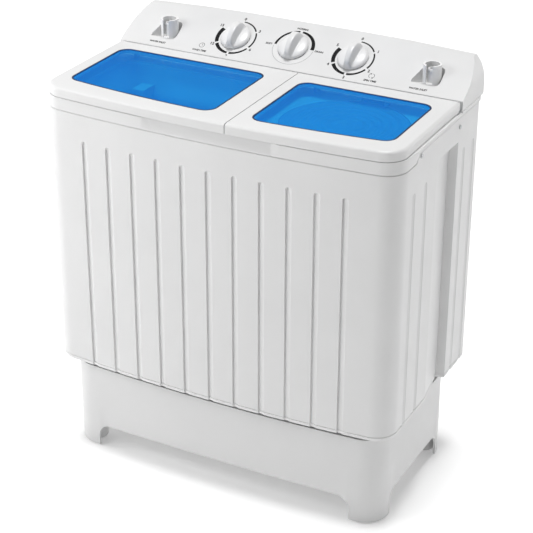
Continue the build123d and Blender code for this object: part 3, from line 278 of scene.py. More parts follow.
def arc_points(x, y, radius, start, end, steps):
    """Points along an arc with both its ends. The angles are in radians."""
    angles = [start + (end - start) * k / steps for k in range(steps + 1)]
    return [(x + radius * math.cos(a), y + radius * math.sin(a)) for a in angles]


def circle(x, y, radius, steps=20):
    """Points of a circle, anticlockwise."""
    return arc_points(x, y, radius, 0.0, 2 * math.pi, steps)[:-1]


def add_ring(bm, points):
    """Vertices of one closed ring."""
    return [bm.verts.new(p) for p in points]


def bridge(bm, first, second):
    """Quads between two closed rings with the same number of points."""
    count = len(first)
    for i in range(count):
        j = (i + 1) % count
        bm.faces.new((first[i], first[j], second[j], second[i]))


def loft(bm, rings, closed=False):
    """Quads through a list of rings of points; closed joins the last ring to the first."""
    made = [add_ring(bm, ring) for ring in rings]
    for first, second in zip(made, made[1:]):
        bridge(bm, first, second)
    if closed:
        bridge(bm, made[-1], made[0])
    return made


def ring_edges(bm, ring):
    """Edges of a ring of vertices, made where they are missing."""
    edges = []
    for i, vert in enumerate(ring):
        following = ring[(i + 1) % len(ring)]
        edges.append(bm.edges.get((vert, following)) or bm.edges.new((vert, following)))
    return edges


def fill_between(bm, rings):
    """Flat face with holes between one outer ring and any number of inner rings."""
    edges = [edge for ring in rings for edge in ring_edges(bm, ring)]
    bmesh.ops.triangle_fill(bm, use_beauty=True, edges=edges)


def lathe(bm, profile, x, y, steps=96):
    """Revolves a closed (radius, height) profile about an upright axis at x, y."""
    columns = []
    for i in range(steps):
        a = 2 * math.pi * i / steps
        columns.append(add_ring(bm, [(r * math.cos(a), r * math.sin(a), z) for r, z in profile]))
    verts = [v for column in columns for v in column]
    for i in range(steps):
        first, second = columns[i], columns[(i + 1) % steps]
        for k in range(len(profile)):
            j = (k + 1) % len(profile)
            if profile[k][0] < 1e-6 and profile[j][0] < 1e-6:
                continue
            bm.faces.new((first[k], second[k], second[j], first[j]))
    bmesh.ops.transform(bm, matrix=Matrix.Translation((x, y, 0)), verts=verts)
    bmesh.ops.remove_doubles(bm, verts=verts, dist=1e-4)


def prism_along(bm, outline, start, end, axis, bevel=0.0):
    """Extrudes a flat outline along X, Y or Z. The outline gives the other two coordinates in order."""
    def point(pair, along):
        values = list(pair)
        values.insert("xyz".index(axis), along)
        return values
    first = add_ring(bm, [point(p, start) for p in outline])
    second = add_ring(bm, [point(p, end) for p in outline])
    bridge(bm, first, second)
    caps = [bm.faces.new(first), bm.faces.new(second)]
    if bevel:
        edges = list(dict.fromkeys(edge for cap in caps for edge in cap.edges))
        bmesh.ops.bevel(bm, geom=edges, offset=bevel, segments=2, affect="EDGES", profile=0.5)


def box_outline(a0, a1, b0, b1, radius=0.0, steps=5):
    """Rectangle with rounded corners, anticlockwise."""
    corners = ((a1 - radius, b1 - radius, 0), (a0 + radius, b1 - radius, 90),
               (a0 + radius, b0 + radius, 180), (a1 - radius, b0 + radius, 270))
    points = []
    for a, b, start in corners:
        if radius == 0:
            points.append((a, b))
            continue
        for k in range(steps + 1):
            angle = math.radians(start + 90 * k / steps)
            points.append((a + radius * math.cos(angle), b + radius * math.sin(angle)))
    return points


def eased(corners, reach, steps=8):
    """Closed outline with its corners rounded, starting reach away from each corner."""
    points = []
    for i, corner in enumerate(corners):
        here = Vector(corner)
        start = here + (Vector(corners[i - 1]) - here).normalized() * reach
        end = here + (Vector(corners[(i + 1) % len(corners)]) - here).normalized() * reach
        for k in range(steps + 1):
            t = k / steps
            points.append(tuple(start * (1 - t) ** 2 + here * 2 * t * (1 - t) + end * t ** 2))
    return points


def steps_between(start, end, step):
    """Evenly spaced values from start to end, about step apart."""
    count = max(1, round(abs(end - start) / step))
    return [start + (end - start) * i / count for i in range(count + 1)]


class Plan:
    """Plan outline with a bowed front and rounded corners, sampled as (x, y, normal x, normal y)."""

    def __init__(self, half_width, front_y, back_y, bow, front_r, back_r, front_xs, side_ys, back_xs):
        self.radius = (half_width ** 2 + bow ** 2) / (2 * bow)
        self.centre = front_y - bow + self.radius
        corner_x = half_width - front_r
        corner_y = self.centre - math.sqrt((self.radius - front_r) ** 2 - corner_x ** 2)
        front_end = corner_x * self.radius / (self.radius - front_r)
        right = [self.on_front(x) for x in sorted(front_xs) if 0 <= x < front_end - 0.3]
        start = math.atan2(corner_y - self.centre, corner_x)
        right += self.arc(corner_x, corner_y, front_r, start, 0.0, 14)
        side_end, back_end = back_y - back_r - 0.3, half_width - back_r - 0.3
        right += [(half_width, y, 1.0, 0.0) for y in sorted(side_ys) if corner_y + 0.3 < y < side_end]
        right += self.arc(half_width - back_r, back_y - back_r, back_r, 0.0, math.pi / 2, 7)
        right += [(x, back_y, 0.0, 1.0) for x in sorted(back_xs, reverse=True) if 0 <= x < back_end]
        left = [(-x, y, -nx, ny) for x, y, nx, ny in reversed(right[1:-1])]
        self.points = right + left

    def on_front(self, x):
        y = self.centre - math.sqrt(self.radius ** 2 - x ** 2)
        return x, y, x / self.radius, (y - self.centre) / self.radius

    @staticmethod
    def arc(x, y, radius, start, end, steps):
        angles = [start + (end - start) * k / steps for k in range(steps + 1)]
        normals = [(math.cos(a), math.sin(a)) for a in angles]
        return [(x + radius * nx, y + radius * ny, nx, ny) for nx, ny in normals]

    def ring(self, inset, height):
        """Ring of points; inset and height are numbers or functions of a plan point."""
        ring = []
        for point in self.points:
            x, y, nx, ny = point
            d = inset(point) if callable(inset) else inset
            z = height(point) if callable(height) else height
            ring.append((x - d * nx, y - d * ny, z))
        return ring


def groove_samples(middles):
    """Sample values across each groove, closer at its walls."""
    offsets = [0.0, 1.8, 3.6, 4.6, GROOVE_HALF - STEEP_WALL, GROOVE_HALF, GROOVE_HALF + 0.5]
    return [middle + side * d for middle in middles for d in offsets for side in (-1, 1)]


# ---------------------------------------------------------------- cabinet
SLIT = 1.4                  # gap between the band's end and the cabinet behind it
# inset and height of the rounded bottom edge and the fine line above it
FOOT_EDGE = ((3.0, 0.0), (1.97, 0.18), (0.88, 0.88), (0.18, 1.97), (0.0, 3.0),
             (0.0, 7.0), (0.9, 7.4), (0.9, 8.8), (0.0, 9.4))


def ear_height(y):
    """Curved end of the band: the seam climbs from the front seam to the side ledge."""
    run = 6.0
    t = (y - (EAR_Y - run)) / run
    if t <= 0:
        return SEAM_Z
    if t >= 1:
        return EAR_Z
    return SEAM_Z + (EAR_Z - SEAM_Z) * (1 - math.sqrt(1 - t ** 2)) ** 0.6


def groove_depth(across, above):
    """Depth of a groove at a distance from its middle, and above its top: a steep side and a long slope."""
    reach = math.hypot(across, max(0.0, above))
    rim = min(1.0, max(0.0, (GROOVE_HALF - reach) / STEEP_WALL))
    return rim * (SLOPE_END_DEPTH + (GROOVE_DEPTH - SLOPE_END_DEPTH) * (1 - across / GROOVE_HALF) / 2)


def recess_ramp(y):
    """Depth of the side recess below its roof."""
    back_run = 3.0
    if y <= RECESS_START_Y or y >= RECESS_BACK_Y + back_run:
        return 0.0
    if y > RECESS_BACK_Y:
        return RECESS_DEPTH * (1 - (y - RECESS_BACK_Y) / back_run)
    return RECESS_DEPTH * (y - RECESS_START_Y) / (RECESS_BACK_Y - RECESS_START_Y)


def relief(point, z):
    """How far the cabinet face lies behind its plain outline."""
    x, y, nx, ny = point
    if ny < -0.9:
        nearest = round(x / GROOVE_PITCH)
        return groove_depth(x - nearest * GROOVE_PITCH, z - FRONT_GROOVE_TOP) if abs(nearest) <= 5 else 0.0
    if abs(nx) > 0.999:
        depths = [groove_depth(y - g, z - SIDE_GROOVE_TOP) for g in SIDE_GROOVES_Y]
        depths.append(max(0.0, min(recess_ramp(y), RECESS_TOP_Z - z)))
        return max(depths)
    return 0.0


def cabinet_rows():
    """Heights of the cabinet's rings: plain numbers, or functions of a plan point."""
    def crease(point):
        ramp = recess_ramp(point[1]) if abs(point[2]) > 0.999 else 0.0
        return RECESS_TOP_Z - max(ramp, 0.3)

    z0, z1 = REAR_WINDOW[2:]
    rows = [CABINET_Z + rise for _, rise in FOOT_EDGE] + [z0] + steps_between(300, z1, 65) + [600.0]
    rows += steps_between(SIDE_GROOVE_TOP - 3, FRONT_GROOVE_TOP + 6, 1)
    rows += [crease, RECESS_TOP_Z, 680.0]
    rows.append(lambda point: ear_height(point[1] - SLIT) - 1.5)
    rows.append(lambda point: ear_height(point[1] - SLIT) - 0.2)
    return rows


def cabinet_shell():
    """Grooved cabinet: an outer and an inner sheet, open at the back behind the service cover."""
    x0, x1, z0, z1 = REAR_WINDOW
    front = groove_samples([i * GROOVE_PITCH for i in range(6)]) + steps_between(0, HALF_WIDTH, 12)
    side = groove_samples(SIDE_GROOVES_Y) + steps_between(-150, 170, 10)
    side += steps_between(EAR_Y - 8, EAR_Y + 3, 0.5)
    side += [RECESS_START_Y, RECESS_BACK_Y, RECESS_BACK_Y + 1.5, RECESS_BACK_Y + 3]
    back = steps_between(0, x1, 57)
    plan = Plan(HALF_WIDTH, FRONT_Y, BACK_Y, FRONT_BOW, FRONT_R, BACK_R, front, side, back)
    rows = cabinet_rows()
    last = len(rows) - 1
    outer, inner = [], []
    bm = bmesh.new()
    for i, row in enumerate(rows):
        level = row if callable(row) else (lambda point, z=row: z)
        edge = FOOT_EDGE[i][0] if i < len(FOOT_EDGE) else 1.2 * (i == last)
        outer.append(add_ring(bm, plan.ring(lambda p: relief(p, level(p)) + edge, level)))
        sunk = plan.ring(lambda p: WALL + relief(p, level(p)) * (recess_ramp(p[1]) > 0), level)
        inner.append(add_ring(bm, sunk))
    count = len(plan.points)

    def open_cell(i, j):
        if not 0 <= i < last:
            return False
        ends = [plan.points[j % count], plan.points[(j + 1) % count]]
        level = rows[i]
        if callable(level) or not z0 <= level < z1:
            return False
        return all(p[3] == 1.0 and x0 - 0.1 < p[0] < x1 + 0.1 for p in ends)

    for i in range(last):
        for j in range(count):
            k = (j + 1) % count
            if open_cell(i, j):
                continue
            bm.faces.new((outer[i][j], outer[i][k], outer[i + 1][k], outer[i + 1][j]))
            bm.faces.new((inner[i][j], inner[i][k], inner[i + 1][k], inner[i + 1][j]))
            if open_cell(i + 1, j):
                bm.faces.new((outer[i + 1][j], outer[i + 1][k], inner[i + 1][k], inner[i + 1][j]))
            if open_cell(i - 1, j):
                bm.faces.new((outer[i][j], outer[i][k], inner[i][k], inner[i][j]))
            if open_cell(i, j + 1):
                bm.faces.new((outer[i][k], outer[i + 1][k], inner[i + 1][k], inner[i][k]))
            if open_cell(i, j - 1):
                bm.faces.new((outer[i][j], outer[i + 1][j], inner[i + 1][j], inner[i][j]))
    bridge(bm, outer[0], inner[0])
    bridge(bm, outer[last], inner[last])
    return make_piece("cabinet", bm, "root", "white_plastic", ["cabinet_shell"], sharp=28, weighted=False)


cabinet_shell()


# ---------------------------------------------------------------- base
def arch_height(distance, half):
    """Lower edge of the skirt at a distance from the middle of an arch."""
    if distance > half:
        return BASE_BOTTOM_Z
    if distance > half - ARCH_R:
        return ARCH_Z - ARCH_R + math.sqrt(max(0.0, ARCH_R ** 2 - (distance - half + ARCH_R) ** 2))
    return ARCH_Z


def skirt_edge(point):
    """Lower edge of the base skirt."""
    x, y, nx, _ = point
    if abs(nx) > 0.99:
        middle = (SIDE_ARCH[0] + SIDE_ARCH[1]) / 2
        return arch_height(abs(y - middle), (SIDE_ARCH[1] - SIDE_ARCH[0]) / 2)
    return arch_height(abs(x), ARCH_HALF)


def reveal_foot(point):
    """Foot of the set-back strip under the cabinet, lower in the middle where the front bows out."""
    bow = (FRONT_BOW - BASE_BOW) * (1 - (point[0] / HALF_WIDTH) ** 2)
    return CABINET_Z - REVEAL - REVEAL_SLOPE * (BASE_FRONT_Y - FRONT_Y + bow)


def base_plinth():
    """Skirt with an arch on each side, a closed floor and four legs."""
    reach = [0, 0.02, 1, 3, 6, 10, 14, 18, 22, 25]
    front = [ARCH_HALF - d for d in reach] + [ARCH_HALF + 0.02] + steps_between(0, 320, 20)
    side = [SIDE_ARCH[0] + d for d in reach] + [SIDE_ARCH[0] - 0.02] + [SIDE_ARCH[1] - d for d in reach]
    side += [SIDE_ARCH[1] + 0.02] + steps_between(-115, 104, 20)
    plan = Plan(BASE_HALF_WIDTH, BASE_FRONT_Y, BASE_BACK_Y, BASE_BOW, BASE_R, BASE_R, front, side, front)
    bm = bmesh.new()
    top = CABINET_Z + 3.0
    loft(bm, [
        plan.ring(0.9, skirt_edge), plan.ring(0.25, lambda p: skirt_edge(p) + 0.25),
        plan.ring(0.0, lambda p: skirt_edge(p) + 0.9), plan.ring(0.0, 120.0),
        plan.ring(0.0, reveal_foot), plan.ring(REVEAL_INSET, lambda p: reveal_foot(p) + 0.6),
        plan.ring(REVEAL_INSET, top),
        plan.ring(WALL + REVEAL_INSET, top), plan.ring(WALL + REVEAL_INSET, reveal_foot),
        plan.ring(WALL, lambda p: reveal_foot(p) - 0.6), plan.ring(WALL, 120.0),
        plan.ring(WALL, skirt_edge),
    ], closed=True)
    floor_faces = loft(bm, [plan.ring(WALL / 2, z) for z in (BASE_FLOOR_Z - 4, BASE_FLOOR_Z)])
    for face in floor_faces:
        bm.faces.new(face)
    for x, y in PAD_PLACES:
        radius, low, high = PAD_R + 6, BASE_BOTTOM_Z, BASE_FLOOR_Z - 3
        lathe(bm, [(0, low + 4), (PAD_R, low + 4), (PAD_R, low + 0.4), (radius - 0.8, low + 0.4),
                   (radius, low + 1.2), (radius, high), (0, high)], x, y, 48)
    return make_piece("base_skirt", bm, "root", "base_plastic", ["base_plinth"], sharp=35, weighted=False)


def foot_pads():
    """Ribbed rubber feet."""
    bm = bmesh.new()
    for x, y in PAD_PLACES:
        lathe(bm, [(0, 6.9), (0, 1.0), (9, 1.0), (9.6, 0.0), (13.8, 0.0), (14.7, 0.8), (14.9, 1.6),
                   (14.3, 2.2), (14.9, 2.8), (14.9, 6.9)], x, y, 48)
    return make_piece("rubber_feet", bm, "root", "black_rubber", ["foot_pads"])


base_plinth()
foot_pads()


# ---------------------------------------------------------------- top frame
FINGER_HALF = 130.0
FINGER_END = 14.0
FINGER_FLOOR_Z = 700.0
FINGER_DEPTH = 4.5
WASH_EARS_X = (-304.0, -6.0)
SPIN_EARS_X = (70.0, 302.0)
EAR_T = 8.0
EAR_R = 4.8
LUG_R = 6.0
LUG_T = 6.0
INNER_HINGE_Y, INNER_HINGE_Z = 60.5, 717.0
INNER_EARS_X = (SPIN_X - 30, SPIN_X + 22)
INNER_EAR_R = 3.8


def finger_depth(point):
    """Depth of the finger recess at a plan point of the front."""
    x, ny = point[0], point[3]
    if ny > -0.9 or abs(x) >= FINGER_HALF:
        return 0.0
    if abs(x) > FINGER_HALF - FINGER_END:
        return FINGER_DEPTH * (FINGER_HALF - abs(x)) / FINGER_END
    return FINGER_DEPTH


def side_lip(point):
    """How far the lip stands out along the sides."""
    y, nx = point[1], point[2]
    if abs(nx) < 0.5 and y < 0:
        return 0.0
    return LIP_PROUD * min(1.0, max(0.0, (y + 150) / 40))


def round_post(bm, x, y, z, radius, thickness, foot_z):
    """Hinge ear or lug: a post along X with a round end at the hinge axis."""
    turn = 1 if foot_z < z else -1
    end = arc_points(y, z, radius, turn * math.pi, 0.0, 12)
    outline = [(y - radius, foot_z)] + end + [(y + radius, foot_z)]
    prism_along(bm, outline, x, x + thickness, "x")


def top_frame():
    """Outer band with the finger recess, the deck with its two openings, and the hinge ears."""
    front = steps_between(0, 340, 12) + steps_between(FINGER_HALF - FINGER_END, FINGER_HALF, 3)
    side = steps_between(-150, 170, 15) + steps_between(EAR_Y - 7, EAR_Y + 1, 0.5)
    side += [y + slack for y, slack in zip(LIP_RELIEF_Y, (-0.4, 0.4))] + list(LIP_RELIEF_Y)
    back = steps_between(0, 320, 40)
    plan = Plan(HALF_WIDTH, FRONT_Y, BACK_Y, FRONT_BOW, FRONT_R, BACK_R, front, side, back)

    def bottom(point):
        return ear_height(point[1]) if abs(point[2]) > 0.5 else (SEAM_Z if point[1] < 0 else EAR_Z)

    def ledge(point):
        return max(bottom(point) + 1.0, FINGER_FLOOR_Z - 0.8)

    def above_ledge(point):
        return max(bottom(point) + 1.6, FINGER_FLOOR_Z)

    def lip_foot(point):
        return max(above_ledge(point) + 0.2, EAR_Z + 0.2)

    def lip_top(point):
        swept = abs(point[2]) > 0.5 and LIP_RELIEF_Y[0] <= point[1] <= LIP_RELIEF_Y[1]
        return LIP_RELIEF_Z if swept else LIP_Z

    def below_lip(drop):
        return lambda p: lip_top(p) - drop

    def face(inset):
        return lambda p: finger_depth(p) - side_lip(p) + inset

    def wall(inset):
        return lambda p: finger_depth(p) + inset

    rings = [
        plan.ring(WALL, bottom),
        plan.ring(1.4, bottom),
        plan.ring(lambda p: -0.4 * side_lip(p) * (bottom(p) >= EAR_Z), lambda p: bottom(p) + 0.9),
        plan.ring(lambda p: -side_lip(p) * (bottom(p) >= EAR_Z), ledge),
        plan.ring(lambda p: 0.1 * finger_depth(p), above_ledge),
        plan.ring(lambda p: 0.6 * finger_depth(p) - side_lip(p) * (finger_depth(p) == 0), lip_foot),
        plan.ring(face(0.0), below_lip(1.2)),
        plan.ring(face(0.35), below_lip(0.35)),
        plan.ring(face(1.2), lip_top),
        plan.ring(wall(3.6), lip_top),
        plan.ring(wall(WALL), below_lip(0.8)),
        plan.ring(wall(WALL), DECK_Z + 0.8),
        plan.ring(wall(WALL + 0.8), DECK_Z),
    ]
    bm = bmesh.new()
    made = loft(bm, rings)
    under = add_ring(bm, plan.ring(WALL, DECK_Z - DECK_T))
    bridge(bm, made[0], under)
    x0, x1, y0, y1 = WASH_OPENING
    tub = box_outline(x0, x1, y0, y1, WASH_OPENING_R, 10)
    basket = box_outline(SPIN_X - SPIN_OPENING_R, SPIN_X + SPIN_OPENING_R, SPIN_Y - SPIN_OPENING_R,
                         SPIN_Y + SPIN_OPENING_R, SPIN_OPENING_R, 20)
    tops, bottoms = [made[-1]], [under]
    for hole in (tub, basket):
        cx = sum(p[0] for p in hole) / len(hole)
        cy = sum(p[1] for p in hole) / len(hole)
        wide = [(cx + (x - cx) * 1.006, cy + (y - cy) * 1.006, DECK_Z) for x, y in hole]
        levels = [wide] + [[(x, y, z) for x, y in hole] for z in (DECK_Z - 1.0, DECK_Z - DECK_T)]
        walls = loft(bm, levels)
        tops.append(walls[0])
        bottoms.append(walls[-1])
    fill_between(bm, tops)
    fill_between(bm, bottoms)
    seat = box_outline(-HALF_WIDTH + WALL, HALF_WIDTH - WALL, CONSOLE_FRONT_Y, BACK_Y - WALL, 6)
    prism_along(bm, seat, DECK_Z - 1, LIP_Z, "z")
    for x in WASH_EARS_X + SPIN_EARS_X:
        round_post(bm, x, HINGE_Y, HINGE_Z, EAR_R, EAR_T, DECK_Z - 1)
    for x in INNER_EARS_X:
        round_post(bm, x, INNER_HINGE_Y, INNER_HINGE_Z, INNER_EAR_R, EAR_T, DECK_Z - 1)
    return make_piece("top_frame_shell", bm, "root", "white_plastic", ["top_frame"], sharp=35)


top_frame()


# ---------------------------------------------------------------- lids
LID_EDGE_R = 5.5
LID_SKIN = 3.0
REAR_EDGE_R = 6.0
SKIRT_END_R = 8.2
PEG_R = 2.95
WINDOW_HALF = 320.0
WINDOW_FRONT_Y = -136.0
WINDOW_BOW = 24.0
WINDOW_R = 22.0
WASH_WINDOW = (-314.0, -12.0, 48.0)
SPIN_WINDOW = (57.0, 310.0, 45.0)


def window_loop(window, inset):
    """Outline of a lid window: a bowed front edge, straight sides and back, and rounded corners."""
    x0, x1, back = window
    radius = (WINDOW_HALF ** 2 + WINDOW_BOW ** 2) / (2 * WINDOW_BOW)
    centre = WINDOW_FRONT_Y - WINDOW_BOW + radius
    corner = WINDOW_R - inset

    def front_corner(x):
        return centre - math.sqrt((radius - WINDOW_R) ** 2 - x ** 2)

    points = []
    left, right = x0 + WINDOW_R, x1 - WINDOW_R
    for cx, sign in ((left, -1), (right, 1)):
        cy = front_corner(cx)
        meet = math.atan2(cy - centre, cx)
        side = math.pi if sign < 0 else 0.0
        first, last = (side, meet + 2 * math.pi) if sign < 0 else (meet, side)
        points += arc_points(cx, cy, corner, first, last, 8)
        if sign < 0:
            span = steps_between(points[-1][0], right, 12)[1:-1]
            points += [(x, centre - math.sqrt((radius - inset) ** 2 - x ** 2)) for x in span]
    for cx, start in ((right, 0.0), (left, math.pi / 2)):
        points += arc_points(cx, back - WINDOW_R, corner, start, start + math.pi / 2, 8)
    return points


def window_rings(window, levels):
    """The window outline once for each pair of inset and drop below the top of the lid."""
    return [[(x, y, LID_TOP_Z - drop) for x, y in window_loop(window, inset)] for inset, drop in levels]


def lid_solid(bm, window):
    """Hollow lid across the whole width, with one window opening. It is cut at the seam afterwards."""
    front = steps_between(0, 340, 12)
    side = steps_between(-140, 60, 20) + [HINGE_Y + d for d in (-8, 0, 2, 4, 5.5, 6.8, 7.7, SKIRT_END_R)]
    back = steps_between(0, 330, 30)
    plan = Plan(LID_HALF_WIDTH, FRONT_Y, LID_BACK_Y, FRONT_BOW, FRONT_R, 3.0, front, side, back)

    def skirt(point):
        if point[3] > 0.9:
            return LID_TOP_Z - LID_SKIN - 0.5
        beyond = min(SKIRT_END_R, max(0.0, point[1] - HINGE_Y))
        return HINGE_Z - math.sqrt(SKIRT_END_R ** 2 - beyond ** 2)

    def ceiling_edge(point):
        return max(skirt(point), LID_TOP_Z - LID_SKIN - 2)

    def across(point):
        return LID_EDGE_R if point[1] < 60 else REAR_EDGE_R

    def down(point):
        return LID_SKIN if point[3] > 0.9 else across(point)

    def edge(degrees):
        inward, fall = 1 - math.cos(math.radians(degrees)), 1 - math.sin(math.radians(degrees))
        return plan.ring(lambda p: across(p) * inward, lambda p: LID_TOP_Z - down(p) * fall)

    rings = [plan.ring(LID_SKIN, skirt), plan.ring(0.5, skirt), plan.ring(0.0, lambda p: skirt(p) + 0.5)]
    rings += [edge(d) for d in (0, 12, 25, 38, 52, 66, 80, 90)]
    made = loft(bm, rings)
    ceiling = loft(bm, [
        plan.ring(LID_SKIN, skirt),
        plan.ring(LID_SKIN, ceiling_edge),
        plan.ring(LID_SKIN + 2, LID_TOP_Z - LID_SKIN),
    ])
    walls = ((-0.5, 0.0), (0.0, 0.5), (0.0, 2.5), (4.0, 2.5), (4.0, 7.0), (-3.0, 7.0), (-3.0, LID_SKIN))
    hole = loft(bm, window_rings(window, walls))
    fill_between(bm, [made[-1], hole[0]])
    fill_between(bm, [ceiling[-1], hole[-1]])
    bmesh.ops.remove_doubles(bm, verts=bm.verts, dist=0.005)
    bmesh.ops.recalc_face_normals(bm, faces=bm.faces)


def cut_at_seam(bm, x, keep_side):
    """Cuts the lid with an upright plane, caps the cut and eases its edges."""
    geometry = list(bm.verts) + list(bm.edges) + list(bm.faces)
    cut = bmesh.ops.bisect_plane(bm, geom=geometry, plane_co=(x, 0, 0), plane_no=(-keep_side, 0, 0),
                                 clear_outer=True)
    edges = [item for item in cut["geom_cut"] if isinstance(item, bmesh.types.BMEdge)]
    filled = bmesh.ops.contextual_create(bm, geom=edges)
    rim = list(dict.fromkeys(edge for face in filled["faces"] for edge in face.edges))
    bmesh.ops.bevel(bm, geom=rim, offset=0.8, segments=2, affect="EDGES", profile=0.5, clamp_overlap=True)


def lid(side, window, keep_side, ears):
    """One lid with its hinge lugs and pegs."""
    bm = bmesh.new()
    lid_solid(bm, window)
    cut_at_seam(bm, LID_SPLIT_X + keep_side * 0.6, keep_side)
    for ear_x in ears:
        for x in (ear_x - LUG_T - 0.5, ear_x + EAR_T + 0.5):
            round_post(bm, x, HINGE_Y, HINGE_Z, LUG_R, LUG_T, LID_TOP_Z - LID_SKIN + 0.5)
        prism_along(bm, circle(HINGE_Y, HINGE_Z, PEG_R), ear_x - 1, ear_x + EAR_T + 1, "x")
    make_piece(side + "_lid_shell", bm, side + "_lid", "white_plastic", [side + "_lid_frame"], sharp=35)


def lid_pane(side, window):
    """Blue pane that lies on the ledge of a lid."""
    bm = bmesh.new()
    made = loft(bm, window_rings(window, ((2.9, 2.3), (2.9, 0.9), (3.1, 0.5), (3.7, 0.3))))
    bm.faces.new(made[0])
    bm.faces.new(made[-1])
    make_piece(side + "_lid_pane", bm, side + "_lid", "blue_window", [side + "_lid_window"], sharp=35)


def lid_seal(side, window):
    """Thin dark navy ring between a pane and its lid: painted shade that stands in for the shaded gap there.
    """
    bm = bmesh.new()
    loft(bm, window_rings(window, ((0.1, 2.4), (0.1, 0.1), (2.8, 0.1), (2.8, 2.4))), closed=True)
    make_piece(side + "_lid_seal", bm, side + "_lid", "black_rubber", material=GAP_SHADE_BLUE, sharp=35)


for lid_side, lid_window, kept_side, lid_ears in (("wash", WASH_WINDOW, -1, WASH_EARS_X),
                                                  ("spin", SPIN_WINDOW, 1, SPIN_EARS_X)):
    lid(lid_side, lid_window, kept_side, lid_ears)
    lid_pane(lid_side, lid_window)
    lid_seal(lid_side, lid_window)


# ---------------------------------------------------------------- console
CORNER_ARC_R = 65.0
CORNER_ARC_X = 279.0
CORNER_ARC_Z = 745.0
CROWN_DROP = 7.5
FACE_TOP_Y = 183.5


def face_place(x, y):
    """Matrix whose XY plane is the sloped control face, with its Z out of the face, in mm."""
    z = FACE_START_Z + (y - CONSOLE_FRONT_Y) * math.tan(FACE_TILT)
    return Matrix.Translation((x, y, z)) @ Matrix.Rotation(FACE_TILT, 4, "X")


def console_front_outline():
    """The console seen from the front: crowned top and rounded upper corners."""
    end_z = CONSOLE_TOP_Z - CROWN_DROP
    end_angle = math.asin((end_z - CORNER_ARC_Z) / CORNER_ARC_R)
    end_x = CORNER_ARC_X + CORNER_ARC_R * math.cos(end_angle)
    crown_radius = (end_x ** 2 + CROWN_DROP ** 2) / (2 * CROWN_DROP)
    right = [(HALF_WIDTH + 1.2, LIP_Z)]
    right += arc_points(CORNER_ARC_X, CORNER_ARC_Z, CORNER_ARC_R, 0.0, end_angle, 14)
    crown = [(x, CONSOLE_TOP_Z - crown_radius + math.sqrt(crown_radius ** 2 - x ** 2))
             for x in steps_between(end_x, -end_x, 24)[1:-1]]
    left = [(-x, z) for x, z in reversed(right)]
    return right + crown + left


def scratch_object(name, bm):
    """Object in mm used only as an operand of a boolean."""
    bmesh.ops.recalc_face_normals(bm, faces=bm.faces)
    mesh = bpy.data.meshes.new(name)
    bm.to_mesh(mesh)
    bm.free()
    return linked(name, mesh)


def boolean(target, tool, operation):
    """Applies a boolean and removes the tool."""
    modifier = target.modifiers.new("cut", "BOOLEAN")
    modifier.operation = operation
    modifier.solver = "EXACT"
    modifier.object = tool
    graph = bpy.context.evaluated_depsgraph_get()
    result = bpy.data.meshes.new_from_object(target.evaluated_get(graph))
    target.modifiers.clear()
    target.data = result
    bpy.data.objects.remove(tool)


def bevel_sharp(bm, angle, offset, segments, chosen=lambda edge: True):
    """Rounds the edges whose faces meet at more than angle."""
    limit = math.radians(angle)
    edges = [e for e in bm.edges if len(e.link_faces) == 2 and e.calc_face_angle(0) > limit and chosen(e)]
    bmesh.ops.bevel(bm, geom=edges, offset=offset, segments=segments, affect="EDGES", profile=0.5,
                    clamp_overlap=True)


def pocket_floor_z(y):
    """Height of the floor of a hose pocket, which falls towards the back."""
    return POCKET_TIP_Z - (y - POCKET_FRONT_Y) * math.tan(POCKET_FALL)


def pocket_tool(x):
    """Space of one hose pocket, which reaches above the console."""
    bm = bmesh.new()
    outline = eased([(x - 3, POCKET_FRONT_Y), (x + POCKET_W, POCKET_FRONT_Y), (x + POCKET_W, POCKET_BACK_Y),
                     (x + 13, POCKET_BACK_Y)], 11)
    above = CONSOLE_TOP_Z + 50
    made = loft(bm, [[(a, b, pocket_floor_z(b)) for a, b in outline], [(a, b, above) for a, b in outline]])
    bm.faces.new(made[0])
    bm.faces.new(made[1])
    return scratch_object("pocket_tool", bm)


